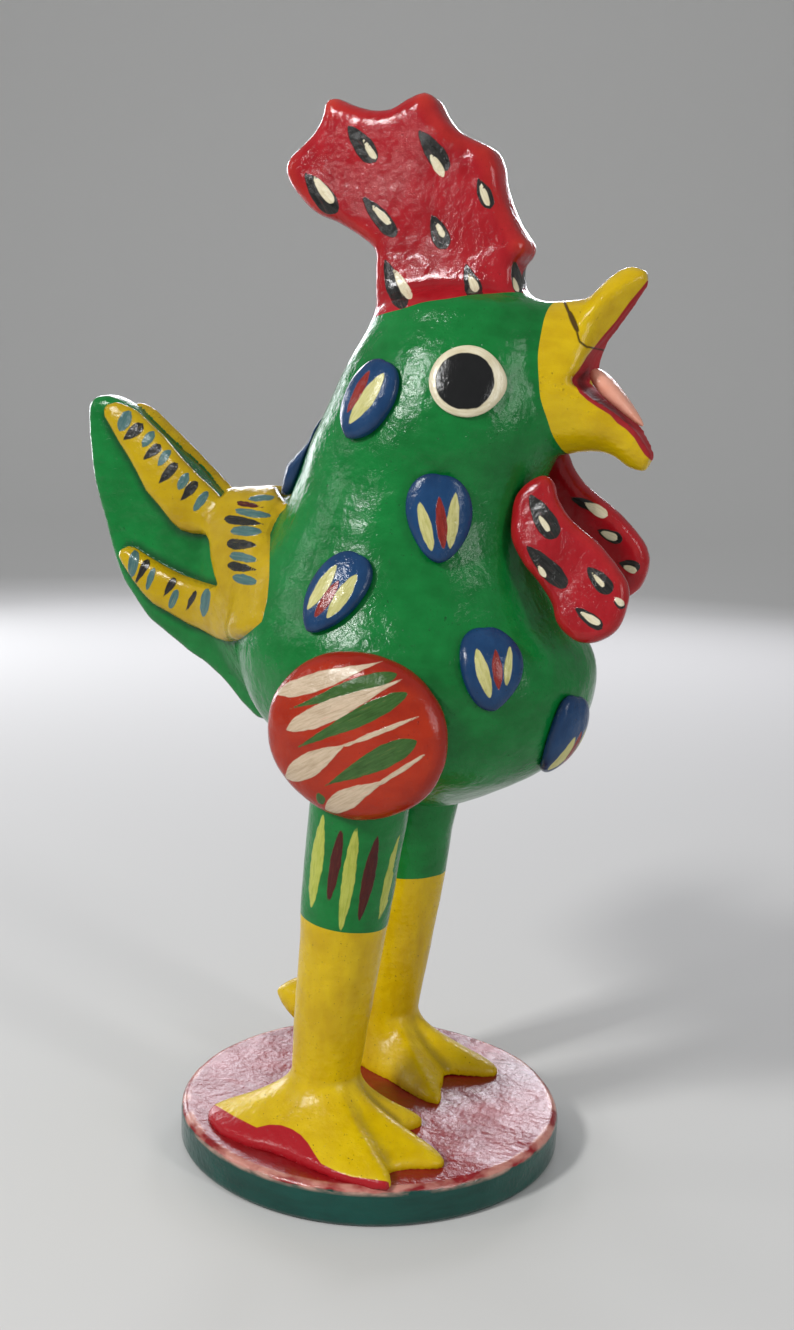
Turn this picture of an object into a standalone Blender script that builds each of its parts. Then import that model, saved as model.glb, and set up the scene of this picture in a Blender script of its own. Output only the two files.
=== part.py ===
# Clay rooster figurine: a hollow, hand-built bird standing on a round plinth.
# Metres, +Z up. The beak points along +X, the bird's left side is +Y,
# and the origin is the centre of the plinth's underside.

import math

import bmesh
import bpy
from mathutils import Matrix, Vector
from mathutils.bvhtree import BVHTree

# Fits
SEAT_GAP = 0.0003            # slip joint between two pieces of clay
CUT_MARGIN = 0.010           # how far a cutter runs past what it cuts
SIGHT_DISTANCE = 0.200       # where the lines start that find a spot on the skin

# Plinth
PLINTH_RADIUS = 0.0405
PLINTH_THICKNESS = 0.0080
PLINTH_EDGE_ROUND = 0.0016
PLINTH_SIDES = 56

# Height of the belly's lowest point above the plinth's top
BELLY_CLEARANCE = 0.0655

# Hollow body and head, as oval sections from the belly up to the crown:
# height above the belly, centre along X, half length along X, half width along Y
BIRD_SECTIONS = (
    (0.0010, 0.0105, 0.0050, 0.0045),
    (0.0030, 0.0105, 0.0115, 0.0110),
    (0.0056, 0.0103, 0.0180, 0.0168),
    (0.0090, 0.0100, 0.0245, 0.0225),
    (0.0136, 0.0093, 0.0303, 0.0272),
    (0.0195, 0.0078, 0.0345, 0.0308),
    (0.0257, 0.0068, 0.0365, 0.0325),
    (0.0310, 0.0062, 0.0373, 0.0330),
    (0.0360, 0.0055, 0.0363, 0.0322),
    (0.0420, 0.0035, 0.0330, 0.0297),
    (0.0500, 0.0025, 0.0295, 0.0262),
    (0.0580, 0.0033, 0.0268, 0.0238),
    (0.0668, 0.0055, 0.0255, 0.0222),
    (0.0740, 0.0075, 0.0266, 0.0219),
    (0.0800, 0.0098, 0.0258, 0.0210),
    (0.0878, 0.0113, 0.0242, 0.0190),
    (0.0930, 0.0125, 0.0225, 0.0172),
    (0.0970, 0.0136, 0.0204, 0.0152),
    (0.1010, 0.0131, 0.0184, 0.0132),
    (0.1035, 0.0118, 0.0130, 0.0090),
    (0.1045, 0.0115, 0.0050, 0.0040),
)
SEAM_ROW = 10                # the section where the head's pot is luted to the body's pot
POT_WALL = 0.0050
VENT_RADIUS = 0.0018
OVAL_SIDES = 28

# Legs: centre of the ankle on the plinth and of the hip, along X and Y
RIGHT_ANKLE = (-0.0047, -0.0157)
RIGHT_HIP = (0.0071, -0.0230)
LEFT_ANKLE = (-0.0070, 0.0200)
LEFT_HIP = (0.0012, 0.0198)
HIP_RISE = 0.0160            # height of the leg's top above the belly
ANKLE_RADIUS = 0.0072
THIGH_RADIUS = 0.0099
THIGH_SHARE = 0.17           # share of the leg's length, at the top, that is full thigh
LEG_SIDES = 20
LEG_STEPS = 6

# Feet: direction in degrees from +X and reach from the ankle of each toe
RIGHT_TOES = ((-37.0, 0.0285), (-10.0, 0.0310), (23.0, 0.0220), (194.0, 0.0235))
LEFT_TOES = ((-37.0, 0.0255), (7.0, 0.0280), (36.0, 0.0270), (197.0, 0.0220))
FOOT_HEIGHT = 0.0140
TOE_THICKNESS = 0.0030
# Foot sections above the toes: share of the foot's height, share of the toes' reach
INSTEP_SECTIONS = ((0.42, 0.50), (0.65, 0.20), (1.00, 0.00))
TOE_EDGE_SHARE = 0.7         # share of the toes' thickness that stands upright
TOE_TOP_REACH = 0.9          # share of the reach that the toes' top keeps
TOE_SPREAD = 15.0            # degrees to each side where a toe has fallen to a third
WEB_REACH = 0.0115           # reach of the foot where there is no toe
FOOT_SIDES = 48

# Wings: round pads on the hips
WING_X = 0.0080
WING_HEIGHT = 0.0212         # centre above the belly
WING_HALF_LENGTH = 0.0182
WING_HALF_HEIGHT = 0.0160
WING_HALF_THICKNESS = 0.0058
WING_STAND_OFF = 0.0010      # centre outside the body's surface
PEBBLE_FULLNESS = 0.35       # 0 is a plain ellipsoid, more fills out its rim
WING_MESH = (8, 24)          # rings and sides

# Eyes: centre along X, height above the belly, size and thickness
EYE_X = 0.0215
EYE_HEIGHT = 0.0873
EYE_HALF_LENGTH = 0.0070
EYE_HALF_HEIGHT = 0.0066
EYE_THICKNESS = 0.0012

# Oval clay feathers on each side: name, X, height above the belly, lean in degrees
SIDE_FEATHERS = (
    ("neck", 0.0020, 0.0832, -20.0),
    ("throat", 0.0178, 0.0617, 0.0),
    ("shoulder", 0.0005, 0.0475, -25.0),
    ("breast", 0.0305, 0.0356, 4.0),
)
FEATHER_HALF_WIDTH = 0.0066
FEATHER_HALF_HEIGHT = 0.0092
FEATHER_THICKNESS = 0.0030
PAD_RIM_SHARE = 0.40         # share of a pad's thickness that its rim stands off the skin
PAD_FULLNESS = 0.6           # below 1 the face of a pad is flatter and its rim fuller
PAD_SINK = 0.0015            # how far a pad's back starts inside the skin
PAD_SIDES = 18
PAD_RINGS = 6
# The two feathers near the middle of the breast and of the neck: angle round the body
# in degrees from +X, height above the belly, lean in degrees
BREAST_FEATHER = (-13.0, 0.0200, 8.0)
BACK_FEATHER = (188.0, 0.0690, 20.0)

# Comb: outline along X and height above the belly, from the rear root forward
COMB_OUTLINE = (
    (0.0010, 0.0900), (-0.0050, 0.1010), (-0.0056, 0.1130), (-0.0099, 0.1163),
    (-0.0203, 0.1203), (-0.0258, 0.1245), (-0.0255, 0.1300), (-0.0200, 0.1346),
    (-0.0172, 0.1392), (-0.0155, 0.1417), (-0.0120, 0.1405), (-0.0068, 0.1390),
    (-0.0008, 0.1402), (0.0045, 0.1418), (0.0075, 0.1390), (0.0105, 0.1350),
    (0.0158, 0.1321), (0.0205, 0.1295), (0.0222, 0.1250), (0.0238, 0.1185),
    (0.0278, 0.1130), (0.0264, 0.1095), (0.0272, 0.1040), (0.0270, 0.0920),
)
COMB_ROOT_HALF_THICKNESS = 0.0072
COMB_TOP_HALF_THICKNESS = 0.0042
COMB_EDGE_ROUND = 0.0026

# Beak halves, as sections from the root to the tip: gape edge (X, height above the
# belly), outer line (X, height above the belly), half width, hollow of the mouth side
UPPER_BEAK_SECTIONS = (
    ((0.0250, 0.0878), (0.0240, 0.1010), 0.0112, 0.0000),
    ((0.0350, 0.0878), (0.0320, 0.1022), 0.0104, 0.0000),
    ((0.0394, 0.0880), (0.0360, 0.1024), 0.0090, 0.0014),
    ((0.0410, 0.0915), (0.0388, 0.1042), 0.0078, 0.0022),
    ((0.0430, 0.0944), (0.0412, 0.1058), 0.0066, 0.0022),
    ((0.0452, 0.0974), (0.0437, 0.1073), 0.0053, 0.0018),
    ((0.0478, 0.1012), (0.0466, 0.1083), 0.0036, 0.0010),
    ((0.0499, 0.1050), (0.0489, 0.1080), 0.0018, 0.0004),
)
LOWER_BEAK_SECTIONS = (
    ((0.0250, 0.0872), (0.0260, 0.0760), 0.0112, 0.0000),
    ((0.0350, 0.0872), (0.0335, 0.0745), 0.0102, 0.0000),
    ((0.0392, 0.0868), (0.0365, 0.0748), 0.0090, 0.0016),
    ((0.0424, 0.0838), (0.0398, 0.0754), 0.0081, 0.0030),
    ((0.0452, 0.0817), (0.0430, 0.0754), 0.0071, 0.0030),
    ((0.0480, 0.0788), (0.0460, 0.0737), 0.0057, 0.0022),
    ((0.0504, 0.0758), (0.0486, 0.0722), 0.0038, 0.0012),
    ((0.0520, 0.0738), (0.0504, 0.0717), 0.0018, 0.0004),
)
BEAK_ARCH_POINTS = 9
BEAK_MOUTH_POINTS = 5
TONGUE_CENTRE = (0.0442, 0.0830)
TONGUE_HALF_LENGTH = 0.0078
TONGUE_HALF_WIDTH = 0.0042
TONGUE_HALF_THICKNESS = 0.0026
TONGUE_DROOP = 34.0          # degrees below level
TONGUE_MESH = (8, 14)

# Wattles: outline in their own plane, forward and height above the belly
WATTLE_OUTLINE = (
    (0.0340, 0.0690), (0.0275, 0.0640), (0.0268, 0.0580), (0.0298, 0.0508),
    (0.0350, 0.0450), (0.0372, 0.0402), (0.0418, 0.0382), (0.0478, 0.0405),
    (0.0508, 0.0460), (0.0492, 0.0540), (0.0430, 0.0620), (0.0380, 0.0680),
)
WATTLE_HALF_THICKNESS = 0.0026
WATTLE_EDGE_ROUND = 0.0020
RIGHT_WATTLE_OFFSET = (0.0010, -0.0070)
LEFT_WATTLE_OFFSET = (0.0005, 0.0070)
LEFT_WATTLE_RISE = 0.0085
WATTLE_SPLAY = 12.0

# Tail: outline along X and height above the belly
TAIL_OUTLINE = (
    (-0.0100, 0.0560), (-0.0260, 0.0590), (-0.0400, 0.0650), (-0.0520, 0.0750),
    (-0.0625, 0.0802), (-0.0690, 0.0806), (-0.0722, 0.0775), (-0.0712, 0.0690),
    (-0.0690, 0.0580), (-0.0640, 0.0470), (-0.0560, 0.0395), (-0.0430, 0.0290),
    (-0.0320, 0.0190), (-0.0240, 0.0110), (-0.0100, 0.0160),
)
TAIL_HALF_THICKNESS = 0.0058
TAIL_EDGE_ROUND = 0.0024
UPPER_STRIP_OUTLINE = (
    (-0.0665, 0.0790), (-0.0640, 0.0740), (-0.0560, 0.0675), (-0.0480, 0.0605),
    (-0.0400, 0.0560), (-0.0290, 0.0550), (-0.0290, 0.0620), (-0.0395, 0.0680),
    (-0.0480, 0.0752), (-0.0585, 0.0808),
)
LOWER_STRIP_OUTLINE = (
    (-0.0625, 0.0478), (-0.0590, 0.0505), (-0.0520, 0.0480), (-0.0430, 0.0448),
    (-0.0300, 0.0430), (-0.0300, 0.0330), (-0.0370, 0.0318), (-0.0455, 0.0335),
    (-0.0540, 0.0390), (-0.0605, 0.0440),
)
STRIP_HALF_THICKNESS = 0.0016
STRIP_EDGE_ROUND = 0.0012
COLLAR_THICKNESS = 0.0030
COLLAR_REACH = 0.0400        # the strap ends where its band no longer meets the bird
COLLAR_OUTLINE = (
    (-0.0370, 0.0320), (-0.0350, 0.0390), (-0.0365, 0.0460), (-0.0370, 0.0530),
    (-0.0345, 0.0600), (-0.0335, 0.0670), (-0.0190, 0.0660), (-0.0205, 0.0610),
    (-0.0240, 0.0560), (-0.0250, 0.0480), (-0.0245, 0.0410), (-0.0270, 0.0345),
    (-0.0320, 0.0305),
)

# Enamel colours (linear red, green, blue) and roughness
GREEN = ((0.016, 0.250, 0.052), 0.22)
TEAL = ((0.004, 0.110, 0.075), 0.25)
CRIMSON = ((0.420, 0.014, 0.018), 0.24)
ORANGE_RED = ((0.520, 0.045, 0.014), 0.26)
YELLOW = ((0.700, 0.480, 0.004), 0.24)
BLUE = ((0.022, 0.070, 0.230), 0.24)
BLACK = ((0.006, 0.006, 0.006), 0.15)
PINK = ((0.780, 0.260, 0.160), 0.30)

BELLY_Z = PLINTH_THICKNESS + BELLY_CLEARANCE


# Scene and helpers

def clear_scene():
    for old in list(bpy.data.objects):
        bpy.data.objects.remove(old, do_unlink=True)


def new_collection(name):
    collection = bpy.data.collections.new(name)
    bpy.context.scene.collection.children.link(collection)
    return collection


clear_scene()
PARTS = new_collection("clay_rooster")
CUTTERS = new_collection("cutters")


def enamel(name, paint):
    colour, roughness = paint
    material = bpy.data.materials.new(name + "_enamel")
    material.use_nodes = True
    shader = material.node_tree.nodes["Principled BSDF"]
    shader.inputs["Base Color"].default_value = (*colour, 1.0)
    shader.inputs["Roughness"].default_value = roughness
    shader.inputs["Metallic"].default_value = 0.0
    material.diffuse_color = (*colour, 1.0)
    return material


def mesh_object(name, bm, collection, placement):
    """Turn a bmesh, in its own frame, into an object at its placement matrix."""
    bmesh.ops.recalc_face_normals(bm, faces=bm.faces)
    mesh = bpy.data.meshes.new(name)
    bm.to_mesh(mesh)
    bm.free()
    item = bpy.data.objects.new(name, mesh)
    item.matrix_world = placement
    collection.objects.link(item)
    return item


def piece(name, bm, paint, placement=Matrix()):
    """A piece of the figurine, smooth and painted."""
    item = mesh_object(name, bm, PARTS, placement)
    item.data.materials.append(enamel(name, paint))
    item.data.shade_smooth()
    item.data.set_sharp_from_angle(angle=math.radians(50))
    return item


def cutter(name, bm, placement=Matrix()):
    """A hidden solid that only shapes other pieces."""
    item = mesh_object(name, bm, CUTTERS, placement)
    item.hide_render = True
    item.display_type = "WIRE"
    return item


def grown(mesh, swell):
    """The mesh's solid, grown outwards by swell along its normals."""
    bm = bmesh.new()
    bm.from_mesh(mesh)
    bm.normal_update()
    moves = [vert.normal * swell for vert in bm.verts]
    for vert, move in zip(bm.verts, moves):
        vert.co += move
    return bm


def swollen(source, swell, tag):
    return cutter(source.name + tag, grown(source.data, swell), source.matrix_world.copy())


def boolean(item, other, operation):
    modifier = item.modifiers.new(operation.lower() + "_" + other.name, "BOOLEAN")
    modifier.operation = operation
    modifier.solver = "EXACT"
    modifier.object = other


def cut(item, *others):
    for other in others:
        boolean(item, other, "DIFFERENCE")


def loft(rings):
    """A closed solid through rings of equally many points, with flat ends."""
    bm = bmesh.new()
    loops = [[bm.verts.new(point) for point in points] for points in rings]
    for lower, upper in zip(loops, loops[1:]):
        for i in range(len(lower)):
            j = (i + 1) % len(lower)
            bm.faces.new((lower[i], lower[j], upper[j], upper[i]))
    bm.faces.new(loops[0])
    bm.faces.new(loops[-1])
    return bm


def oval(x, y, z, half_length, half_width, sides):
    steps = [2 * math.pi * i / sides for i in range(sides)]
    return [Vector((x + half_length * math.cos(a), y + half_width * math.sin(a), z)) for a in steps]


def outline_solid(points, half_thickness, edge_round):
    """A flat outline in X and Z, thickened to both sides of Y, with rounded edges."""
    curve = bpy.data.curves.new("outline", "CURVE")
    curve.dimensions = "2D"
    curve.fill_mode = "BOTH"
    curve.extrude = half_thickness - edge_round
    curve.bevel_depth = edge_round
    curve.bevel_resolution = 1
    curve.offset = -edge_round
    curve.resolution_u = 3
    spline = curve.splines.new("BEZIER")
    spline.bezier_points.add(len(points) - 1)
    spline.use_cyclic_u = True
    for knot, (x, z) in zip(spline.bezier_points, points):
        knot.co = (x, z, 0.0)
        knot.handle_left_type = "AUTO"
        knot.handle_right_type = "AUTO"
    guide = bpy.data.objects.new("outline", curve)
    guide.matrix_world = Matrix.Rotation(math.pi / 2, 4, "X")
    CUTTERS.objects.link(guide)
    graph = bpy.context.evaluated_depsgraph_get()
    mesh = bpy.data.meshes.new_from_object(guide.evaluated_get(graph))
    bm = bmesh.new()
    bm.from_mesh(mesh)
    bmesh.ops.transform(bm, matrix=guide.matrix_world, verts=bm.verts)
    bmesh.ops.remove_doubles(bm, verts=bm.verts, dist=0.00001)
    bpy.data.objects.remove(guide, do_unlink=True)
    bpy.data.meshes.remove(mesh)
    return bm


def flat_pebble(half_length, half_width, half_thickness, across, around):
    """A round pad with full edges, flat in its own X and Y."""
    bm = bmesh.new()
    bmesh.ops.create_uvsphere(bm, u_segments=around, v_segments=across, radius=1.0)
    for vert in bm.verts:
        rim = math.hypot(vert.co.x, vert.co.y)
        bulge = rim ** -PEBBLE_FULLNESS if rim > 0.001 else 1.0
        vert.co.x *= half_length * bulge
        vert.co.y *= half_width * bulge
        vert.co.z *= half_thickness
    return bm


# Plinth

def make_plinth():
    bm = bmesh.new()
    bmesh.ops.create_cone(
        bm, cap_ends=True, segments=PLINTH_SIDES, radius1=PLINTH_RADIUS, radius2=PLINTH_RADIUS,
        depth=PLINTH_THICKNESS)
    base = piece("base_disc", bm, TEAL, Matrix.Translation((0, 0, PLINTH_THICKNESS / 2)))
    edge = base.modifiers.new("soft_edge", "BEVEL")
    edge.width = PLINTH_EDGE_ROUND
    edge.segments = 2
    edge.limit_method = "ANGLE"


# Hollow body and head

def bird_ring(row, inset, lift):
    height, x, half_length, half_width = row
    z = BELLY_Z + height + lift
    return oval(x, 0.0, z, half_length - inset, half_width - inset, OVAL_SIDES)


def pot(rows):
    """A pot from its closed end to its open rim, with the same outline inside, one wall in."""
    rim = rows[-1][0]
    depth = abs(rim - rows[0][0])
    outside = [bird_ring(row, 0.0, 0.0) for row in rows]
    inside = []
    for row in rows:
        if row[3] > 2 * POT_WALL:
            inside.append(bird_ring(row, POT_WALL, (rim - row[0]) * POT_WALL / depth))
    return loft(outside + inside[::-1])


def lower_rows():
    return list(BIRD_SECTIONS[:SEAM_ROW + 1])


def upper_rows():
    """The sections from the crown down to the rim, one seat gap above the body's rim."""
    rows = list(BIRD_SECTIONS[SEAM_ROW:])
    height, x, half_length, half_width = rows[0]
    rows[0] = (height + SEAT_GAP, x, half_length, half_width)
    return rows[::-1]


def make_bird():
    """The two pots, and the whole solid outline that other pieces are pressed against."""
    form = cutter("bird_form", loft([bird_ring(row, 0.0, 0.0) for row in BIRD_SECTIONS]))
    bowl = piece("body_bowl", pot(lower_rows()), GREEN)
    head = piece("neck_and_head", pot(upper_rows()), GREEN)
    bm = bmesh.new()
    bmesh.ops.create_cone(
        bm, cap_ends=True, segments=16, radius1=VENT_RADIUS, radius2=VENT_RADIUS,
        depth=2 * (POT_WALL + CUT_MARGIN))
    vent = cutter("vent_drill", bm, Matrix.Translation((BIRD_SECTIONS[0][1], 0, BELLY_Z)))
    cut(bowl, vent)
    return form


# Legs and feet

def foot_reach(angle, toes):
    """Distance from the ankle to the edge of the foot in one direction."""
    reach = WEB_REACH
    for direction, length in toes:
        away = (math.degrees(angle) - direction + 180.0) % 360.0 - 180.0
        reach = max(reach, WEB_REACH + (length - WEB_REACH) * math.exp(-(away / TOE_SPREAD) ** 2))
    return reach


def make_foot(side, ankle, toes):
    """A fan of toes lofted up to the round ankle."""
    rows = [(0.0, 1.0), (TOE_THICKNESS * TOE_EDGE_SHARE, 1.0), (TOE_THICKNESS, TOE_TOP_REACH)]
    rows += [(FOOT_HEIGHT * height, share) for height, share in INSTEP_SECTIONS]
    angles = [2 * math.pi * i / FOOT_SIDES for i in range(FOOT_SIDES)]
    rings = []
    for height, share in rows:
        points = []
        for angle in angles:
            reach = ANKLE_RADIUS + (foot_reach(angle, toes) - ANKLE_RADIUS) * share
            points.append(Vector((reach * math.cos(angle), reach * math.sin(angle), height)))
        rings.append(points)
    place = Matrix.Translation((*ankle, PLINTH_THICKNESS + SEAT_GAP))
    return piece(side + "_foot", loft(rings), YELLOW, place)


def make_leg(side, ankle, hip, skin_fit):
    """A tapered column that leans from the ankle to the hip and is cut to fit the belly."""
    start = PLINTH_THICKNESS + FOOT_HEIGHT + 2 * SEAT_GAP
    end = BELLY_Z + HIP_RISE
    share_at_start = (start - PLINTH_THICKNESS) / (end - PLINTH_THICKNESS)
    rings = []
    for step in range(LEG_STEPS + 1):
        rise = step / LEG_STEPS
        share = share_at_start + (1.0 - share_at_start) * rise
        radius = ANKLE_RADIUS + (THIGH_RADIUS - ANKLE_RADIUS) * min(1.0, rise / (1.0 - THIGH_SHARE))
        x = ankle[0] + (hip[0] - ankle[0]) * share
        y = ankle[1] + (hip[1] - ankle[1]) * share
        rings.append(oval(x, y, start + (end - start) * rise, radius, radius, LEG_SIDES))
    leg = piece(side + "_leg", loft(rings), GREEN)
    fitted = swollen(leg, SEAT_GAP, "_fit")
    cut(leg, skin_fit)
    return fitted


# Pieces pressed on to the skin

def skin_tree(form):
    bm = bmesh.new()
    bm.from_mesh(form.data)
    tree = BVHTree.FromBMesh(bm)
    bm.free()
    return tree


def skin_spot(tree, start, direction):
    """The point and outward normal where a straight line meets the skin."""
    point, normal, _, _ = tree.ray_cast(start, direction)
    return point, normal


def side_spot(tree, side, x, height):
    """The spot on the bird's side (-1 right, +1 left) at this X and height."""
    start = Vector((x, side * SIGHT_DISTANCE, BELLY_Z + height))
    return skin_spot(tree, start, Vector((0, -side, 0)))


def round_spot(tree, degrees, height, x):
    """The spot at this angle round the vertical line through x."""
    way = Vector((math.cos(math.radians(degrees)), math.sin(math.radians(degrees)), 0))
    start = Vector((x, 0, BELLY_Z + height)) + way * SIGHT_DISTANCE
    return skin_spot(tree, start, -way)


def spot_frame(point, normal, lean):
    """Axes on the skin: Z out of it, Y up along it, leaned round Z by some degrees."""
    out = normal.normalized()
    right = Vector((0, 0, 1)).cross(out).normalized()
    up = out.cross(right)
    axes = Matrix((right, up, out)).transposed().to_4x4()
    return Matrix.Translation(point) @ axes @ Matrix.Rotation(math.radians(lean), 4, "Z")


def pressed_pad(tree, frame, half_width, half_height, thickness):
    """An oval pad that bends with the skin: domed face, round rim, back sunk for the cut."""
    bm = bmesh.new()
    bmesh.ops.create_uvsphere(bm, u_segments=PAD_SIDES, v_segments=PAD_RINGS, radius=1.0)
    out = (frame.to_3x3() @ Vector((0, 0, 1))).normalized()
    back = frame.inverted()
    rim = thickness * PAD_RIM_SHARE
    for vert in bm.verts:
        flat = Vector((vert.co.x * half_width, vert.co.y * half_height, 0))
        hit = tree.ray_cast(frame @ flat + out * half_height, -out)[0]
        depth = (back @ hit).z if hit else 0.0
        fullness = abs(vert.co.z) ** PAD_FULLNESS
        rise = (thickness - rim) * fullness if vert.co.z > 0 else -(rim + PAD_SINK) * fullness
        vert.co = flat + Vector((0, 0, depth + rim + rise))
    return bm


def pressed_piece(name, tree, skin_fit, frame, size, paint):
    """A painted oval pad, cut at the back so that it sits one gap off the skin."""
    pad = piece(name, pressed_pad(tree, frame, *size), paint, frame)
    cut(pad, skin_fit)
    return pad


def make_feathers(tree, skin_fit, collar_fit):
    size = (FEATHER_HALF_WIDTH, FEATHER_HALF_HEIGHT, FEATHER_THICKNESS)
    for side, side_name in ((-1, "right"), (1, "left")):
        for name, x, height, lean in SIDE_FEATHERS:
            point, normal = side_spot(tree, side, x, height)
            frame = spot_frame(point, normal, -side * lean)
            pressed_piece("feather_" + side_name + "_" + name, tree, skin_fit, frame, size, BLUE)
    for name, spot in (("front", BREAST_FEATHER), ("back", BACK_FEATHER)):
        degrees, height, lean = spot
        point, normal = round_spot(tree, degrees, height, BIRD_SECTIONS[0][1])
        frame = spot_frame(point, normal, lean)
        feather = pressed_piece("feather_" + name, tree, skin_fit, frame, size, BLUE)
        cut(feather, collar_fit)


def make_eyes(tree, skin_fit):
    size = (EYE_HALF_LENGTH, EYE_HALF_HEIGHT, EYE_THICKNESS)
    for side, side_name in ((-1, "right"), (1, "left")):
        point, normal = side_spot(tree, side, EYE_X, EYE_HEIGHT)
        frame = spot_frame(point, normal, 0.0)
        pressed_piece(side_name + "_eye", tree, skin_fit, frame, size, BLACK)


def make_wings(tree, skin_fit, leg_fits):
    for side, side_name in ((-1, "right"), (1, "left")):
        point, _ = side_spot(tree, side, WING_X, WING_HEIGHT)
        centre = point + Vector((0, side * WING_STAND_OFF, 0))
        place = Matrix.Translation(centre) @ Matrix.Rotation(math.pi / 2, 4, "X")
        pad = flat_pebble(WING_HALF_LENGTH, WING_HALF_HEIGHT, WING_HALF_THICKNESS, *WING_MESH)
        wing = piece(side_name + "_wing", pad, ORANGE_RED, place)
        cut(wing, skin_fit, leg_fits[side_name])


# Head pieces

def comb_half_thickness(height):
    low = BIRD_SECTIONS[-1][0]
    high = max(z for _, z in COMB_OUTLINE)
    share = min(1.0, max(0.0, (height - low) / (high - low)))
    return COMB_ROOT_HALF_THICKNESS + (COMB_TOP_HALF_THICKNESS - COMB_ROOT_HALF_THICKNESS) * share


def make_comb(skin_fit):
    bm = outline_solid(COMB_OUTLINE, COMB_ROOT_HALF_THICKNESS, COMB_EDGE_ROUND)
    for vert in bm.verts:
        vert.co.y *= comb_half_thickness(vert.co.z) / COMB_ROOT_HALF_THICKNESS
    comb = piece("comb", bm, CRIMSON, Matrix.Translation((0, 0, BELLY_Z)))
    cut(comb, skin_fit)


def beak_section(edge, outer, half_width, hollow):
    """A D-shaped section: an arch from one gape edge to the other, closed by the mouth side."""
    middle = Vector((edge[0], 0, BELLY_Z + edge[1]))
    rise = Vector((outer[0], 0, BELLY_Z + outer[1])) - middle
    points = []
    for i in range(BEAK_ARCH_POINTS):
        turn = math.pi * i / (BEAK_ARCH_POINTS - 1)
        points.append(middle + Vector((0, half_width * math.cos(turn), 0)) + rise * math.sin(turn))
    for i in range(1, BEAK_MOUTH_POINTS + 1):
        across = i / (BEAK_MOUTH_POINTS + 1)
        sink = rise.normalized() * hollow * math.sin(math.pi * across)
        points.append(middle + Vector((0, half_width * (2 * across - 1), 0)) + sink)
    return points


def make_beak(skin_fit):
    halves = {}
    for name, rows in (("upper_beak", UPPER_BEAK_SECTIONS), ("lower_beak", LOWER_BEAK_SECTIONS)):
        half = piece(name, loft([beak_section(*row) for row in rows]), YELLOW)
        halves[name] = swollen(half, SEAT_GAP, "_fit")
        cut(half, skin_fit)
    bm = flat_pebble(TONGUE_HALF_LENGTH, TONGUE_HALF_WIDTH, TONGUE_HALF_THICKNESS, *TONGUE_MESH)
    spot = Matrix.Translation((TONGUE_CENTRE[0], 0, BELLY_Z + TONGUE_CENTRE[1]))
    droop = Matrix.Rotation(math.radians(TONGUE_DROOP), 4, "Y")
    tongue = piece("tongue", bm, PINK, spot @ droop)
    cut(tongue, halves["upper_beak"], halves["lower_beak"])
    return halves["lower_beak"]


def make_wattles(skin_fit, beak_fit):
    sides = (
        ("right", RIGHT_WATTLE_OFFSET, 0.0, -WATTLE_SPLAY),
        ("left", LEFT_WATTLE_OFFSET, LEFT_WATTLE_RISE, WATTLE_SPLAY),
    )
    root_x, root_height = WATTLE_OUTLINE[0]
    points = [(x - root_x, z - root_height) for x, z in WATTLE_OUTLINE]
    for side_name, (forward, aside), rise, splay in sides:
        bm = outline_solid(points, WATTLE_HALF_THICKNESS, WATTLE_EDGE_ROUND)
        spot = Matrix.Translation((root_x + forward, aside, BELLY_Z + root_height + rise))
        place = spot @ Matrix.Rotation(math.radians(splay), 4, "X")
        wattle = piece(side_name + "_wattle", bm, CRIMSON, place)
        cut(wattle, skin_fit, beak_fit)


# Tail

def make_tail(form, skin_fit):
    place = Matrix.Translation((0, 0, BELLY_Z))
    tail = piece(
        "tail", outline_solid(TAIL_OUTLINE, TAIL_HALF_THICKNESS, TAIL_EDGE_ROUND), GREEN, place)
    tail_fit = swollen(tail, SEAT_GAP, "_fit")
    cut(tail, skin_fit)

    band = cutter(
        "collar_band", outline_solid(COLLAR_OUTLINE, COLLAR_REACH, STRIP_EDGE_ROUND), place)
    outer_skin = swollen(form, COLLAR_THICKNESS, "_collar")
    collar = piece("tail_collar", grown(tail.data, COLLAR_THICKNESS), YELLOW, place)
    boolean(collar, outer_skin, "UNION")
    boolean(collar, band, "INTERSECT")
    cut(collar, skin_fit, tail_fit)

    bpy.context.view_layer.update()
    graph = bpy.context.evaluated_depsgraph_get()
    finished = collar.evaluated_get(graph).to_mesh()
    collar_fit = cutter("tail_collar_fit", grown(finished, SEAT_GAP), place)

    face = TAIL_HALF_THICKNESS + SEAT_GAP + STRIP_HALF_THICKNESS
    for side, side_name in ((-1, "right"), (1, "left")):
        for name, outline in (("upper", UPPER_STRIP_OUTLINE), ("lower", LOWER_STRIP_OUTLINE)):
            bm = outline_solid(outline, STRIP_HALF_THICKNESS, STRIP_EDGE_ROUND)
            spot = Matrix.Translation((0, side * face, BELLY_Z))
            strip = piece(side_name + "_tail_" + name + "_strip", bm, YELLOW, spot)
            cut(strip, collar_fit, skin_fit)
    return collar_fit


def make_rooster():
    make_plinth()
    form = make_bird()
    skin_fit = swollen(form, SEAT_GAP, "_fit")
    leg_fits = {}
    for side, ankle, hip, toes in (
            ("right", RIGHT_ANKLE, RIGHT_HIP, RIGHT_TOES),
            ("left", LEFT_ANKLE, LEFT_HIP, LEFT_TOES)):
        make_foot(side, ankle, toes)
        leg_fits[side] = make_leg(side, ankle, hip, skin_fit)
    tree = skin_tree(form)
    make_wings(tree, skin_fit, leg_fits)
    collar_fit = make_tail(form, skin_fit)
    make_feathers(tree, skin_fit, collar_fit)
    make_eyes(tree, skin_fit)
    make_comb(skin_fit)
    beak_fit = make_beak(skin_fit)
    make_wattles(skin_fit, beak_fit)


make_rooster()
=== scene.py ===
import math

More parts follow.
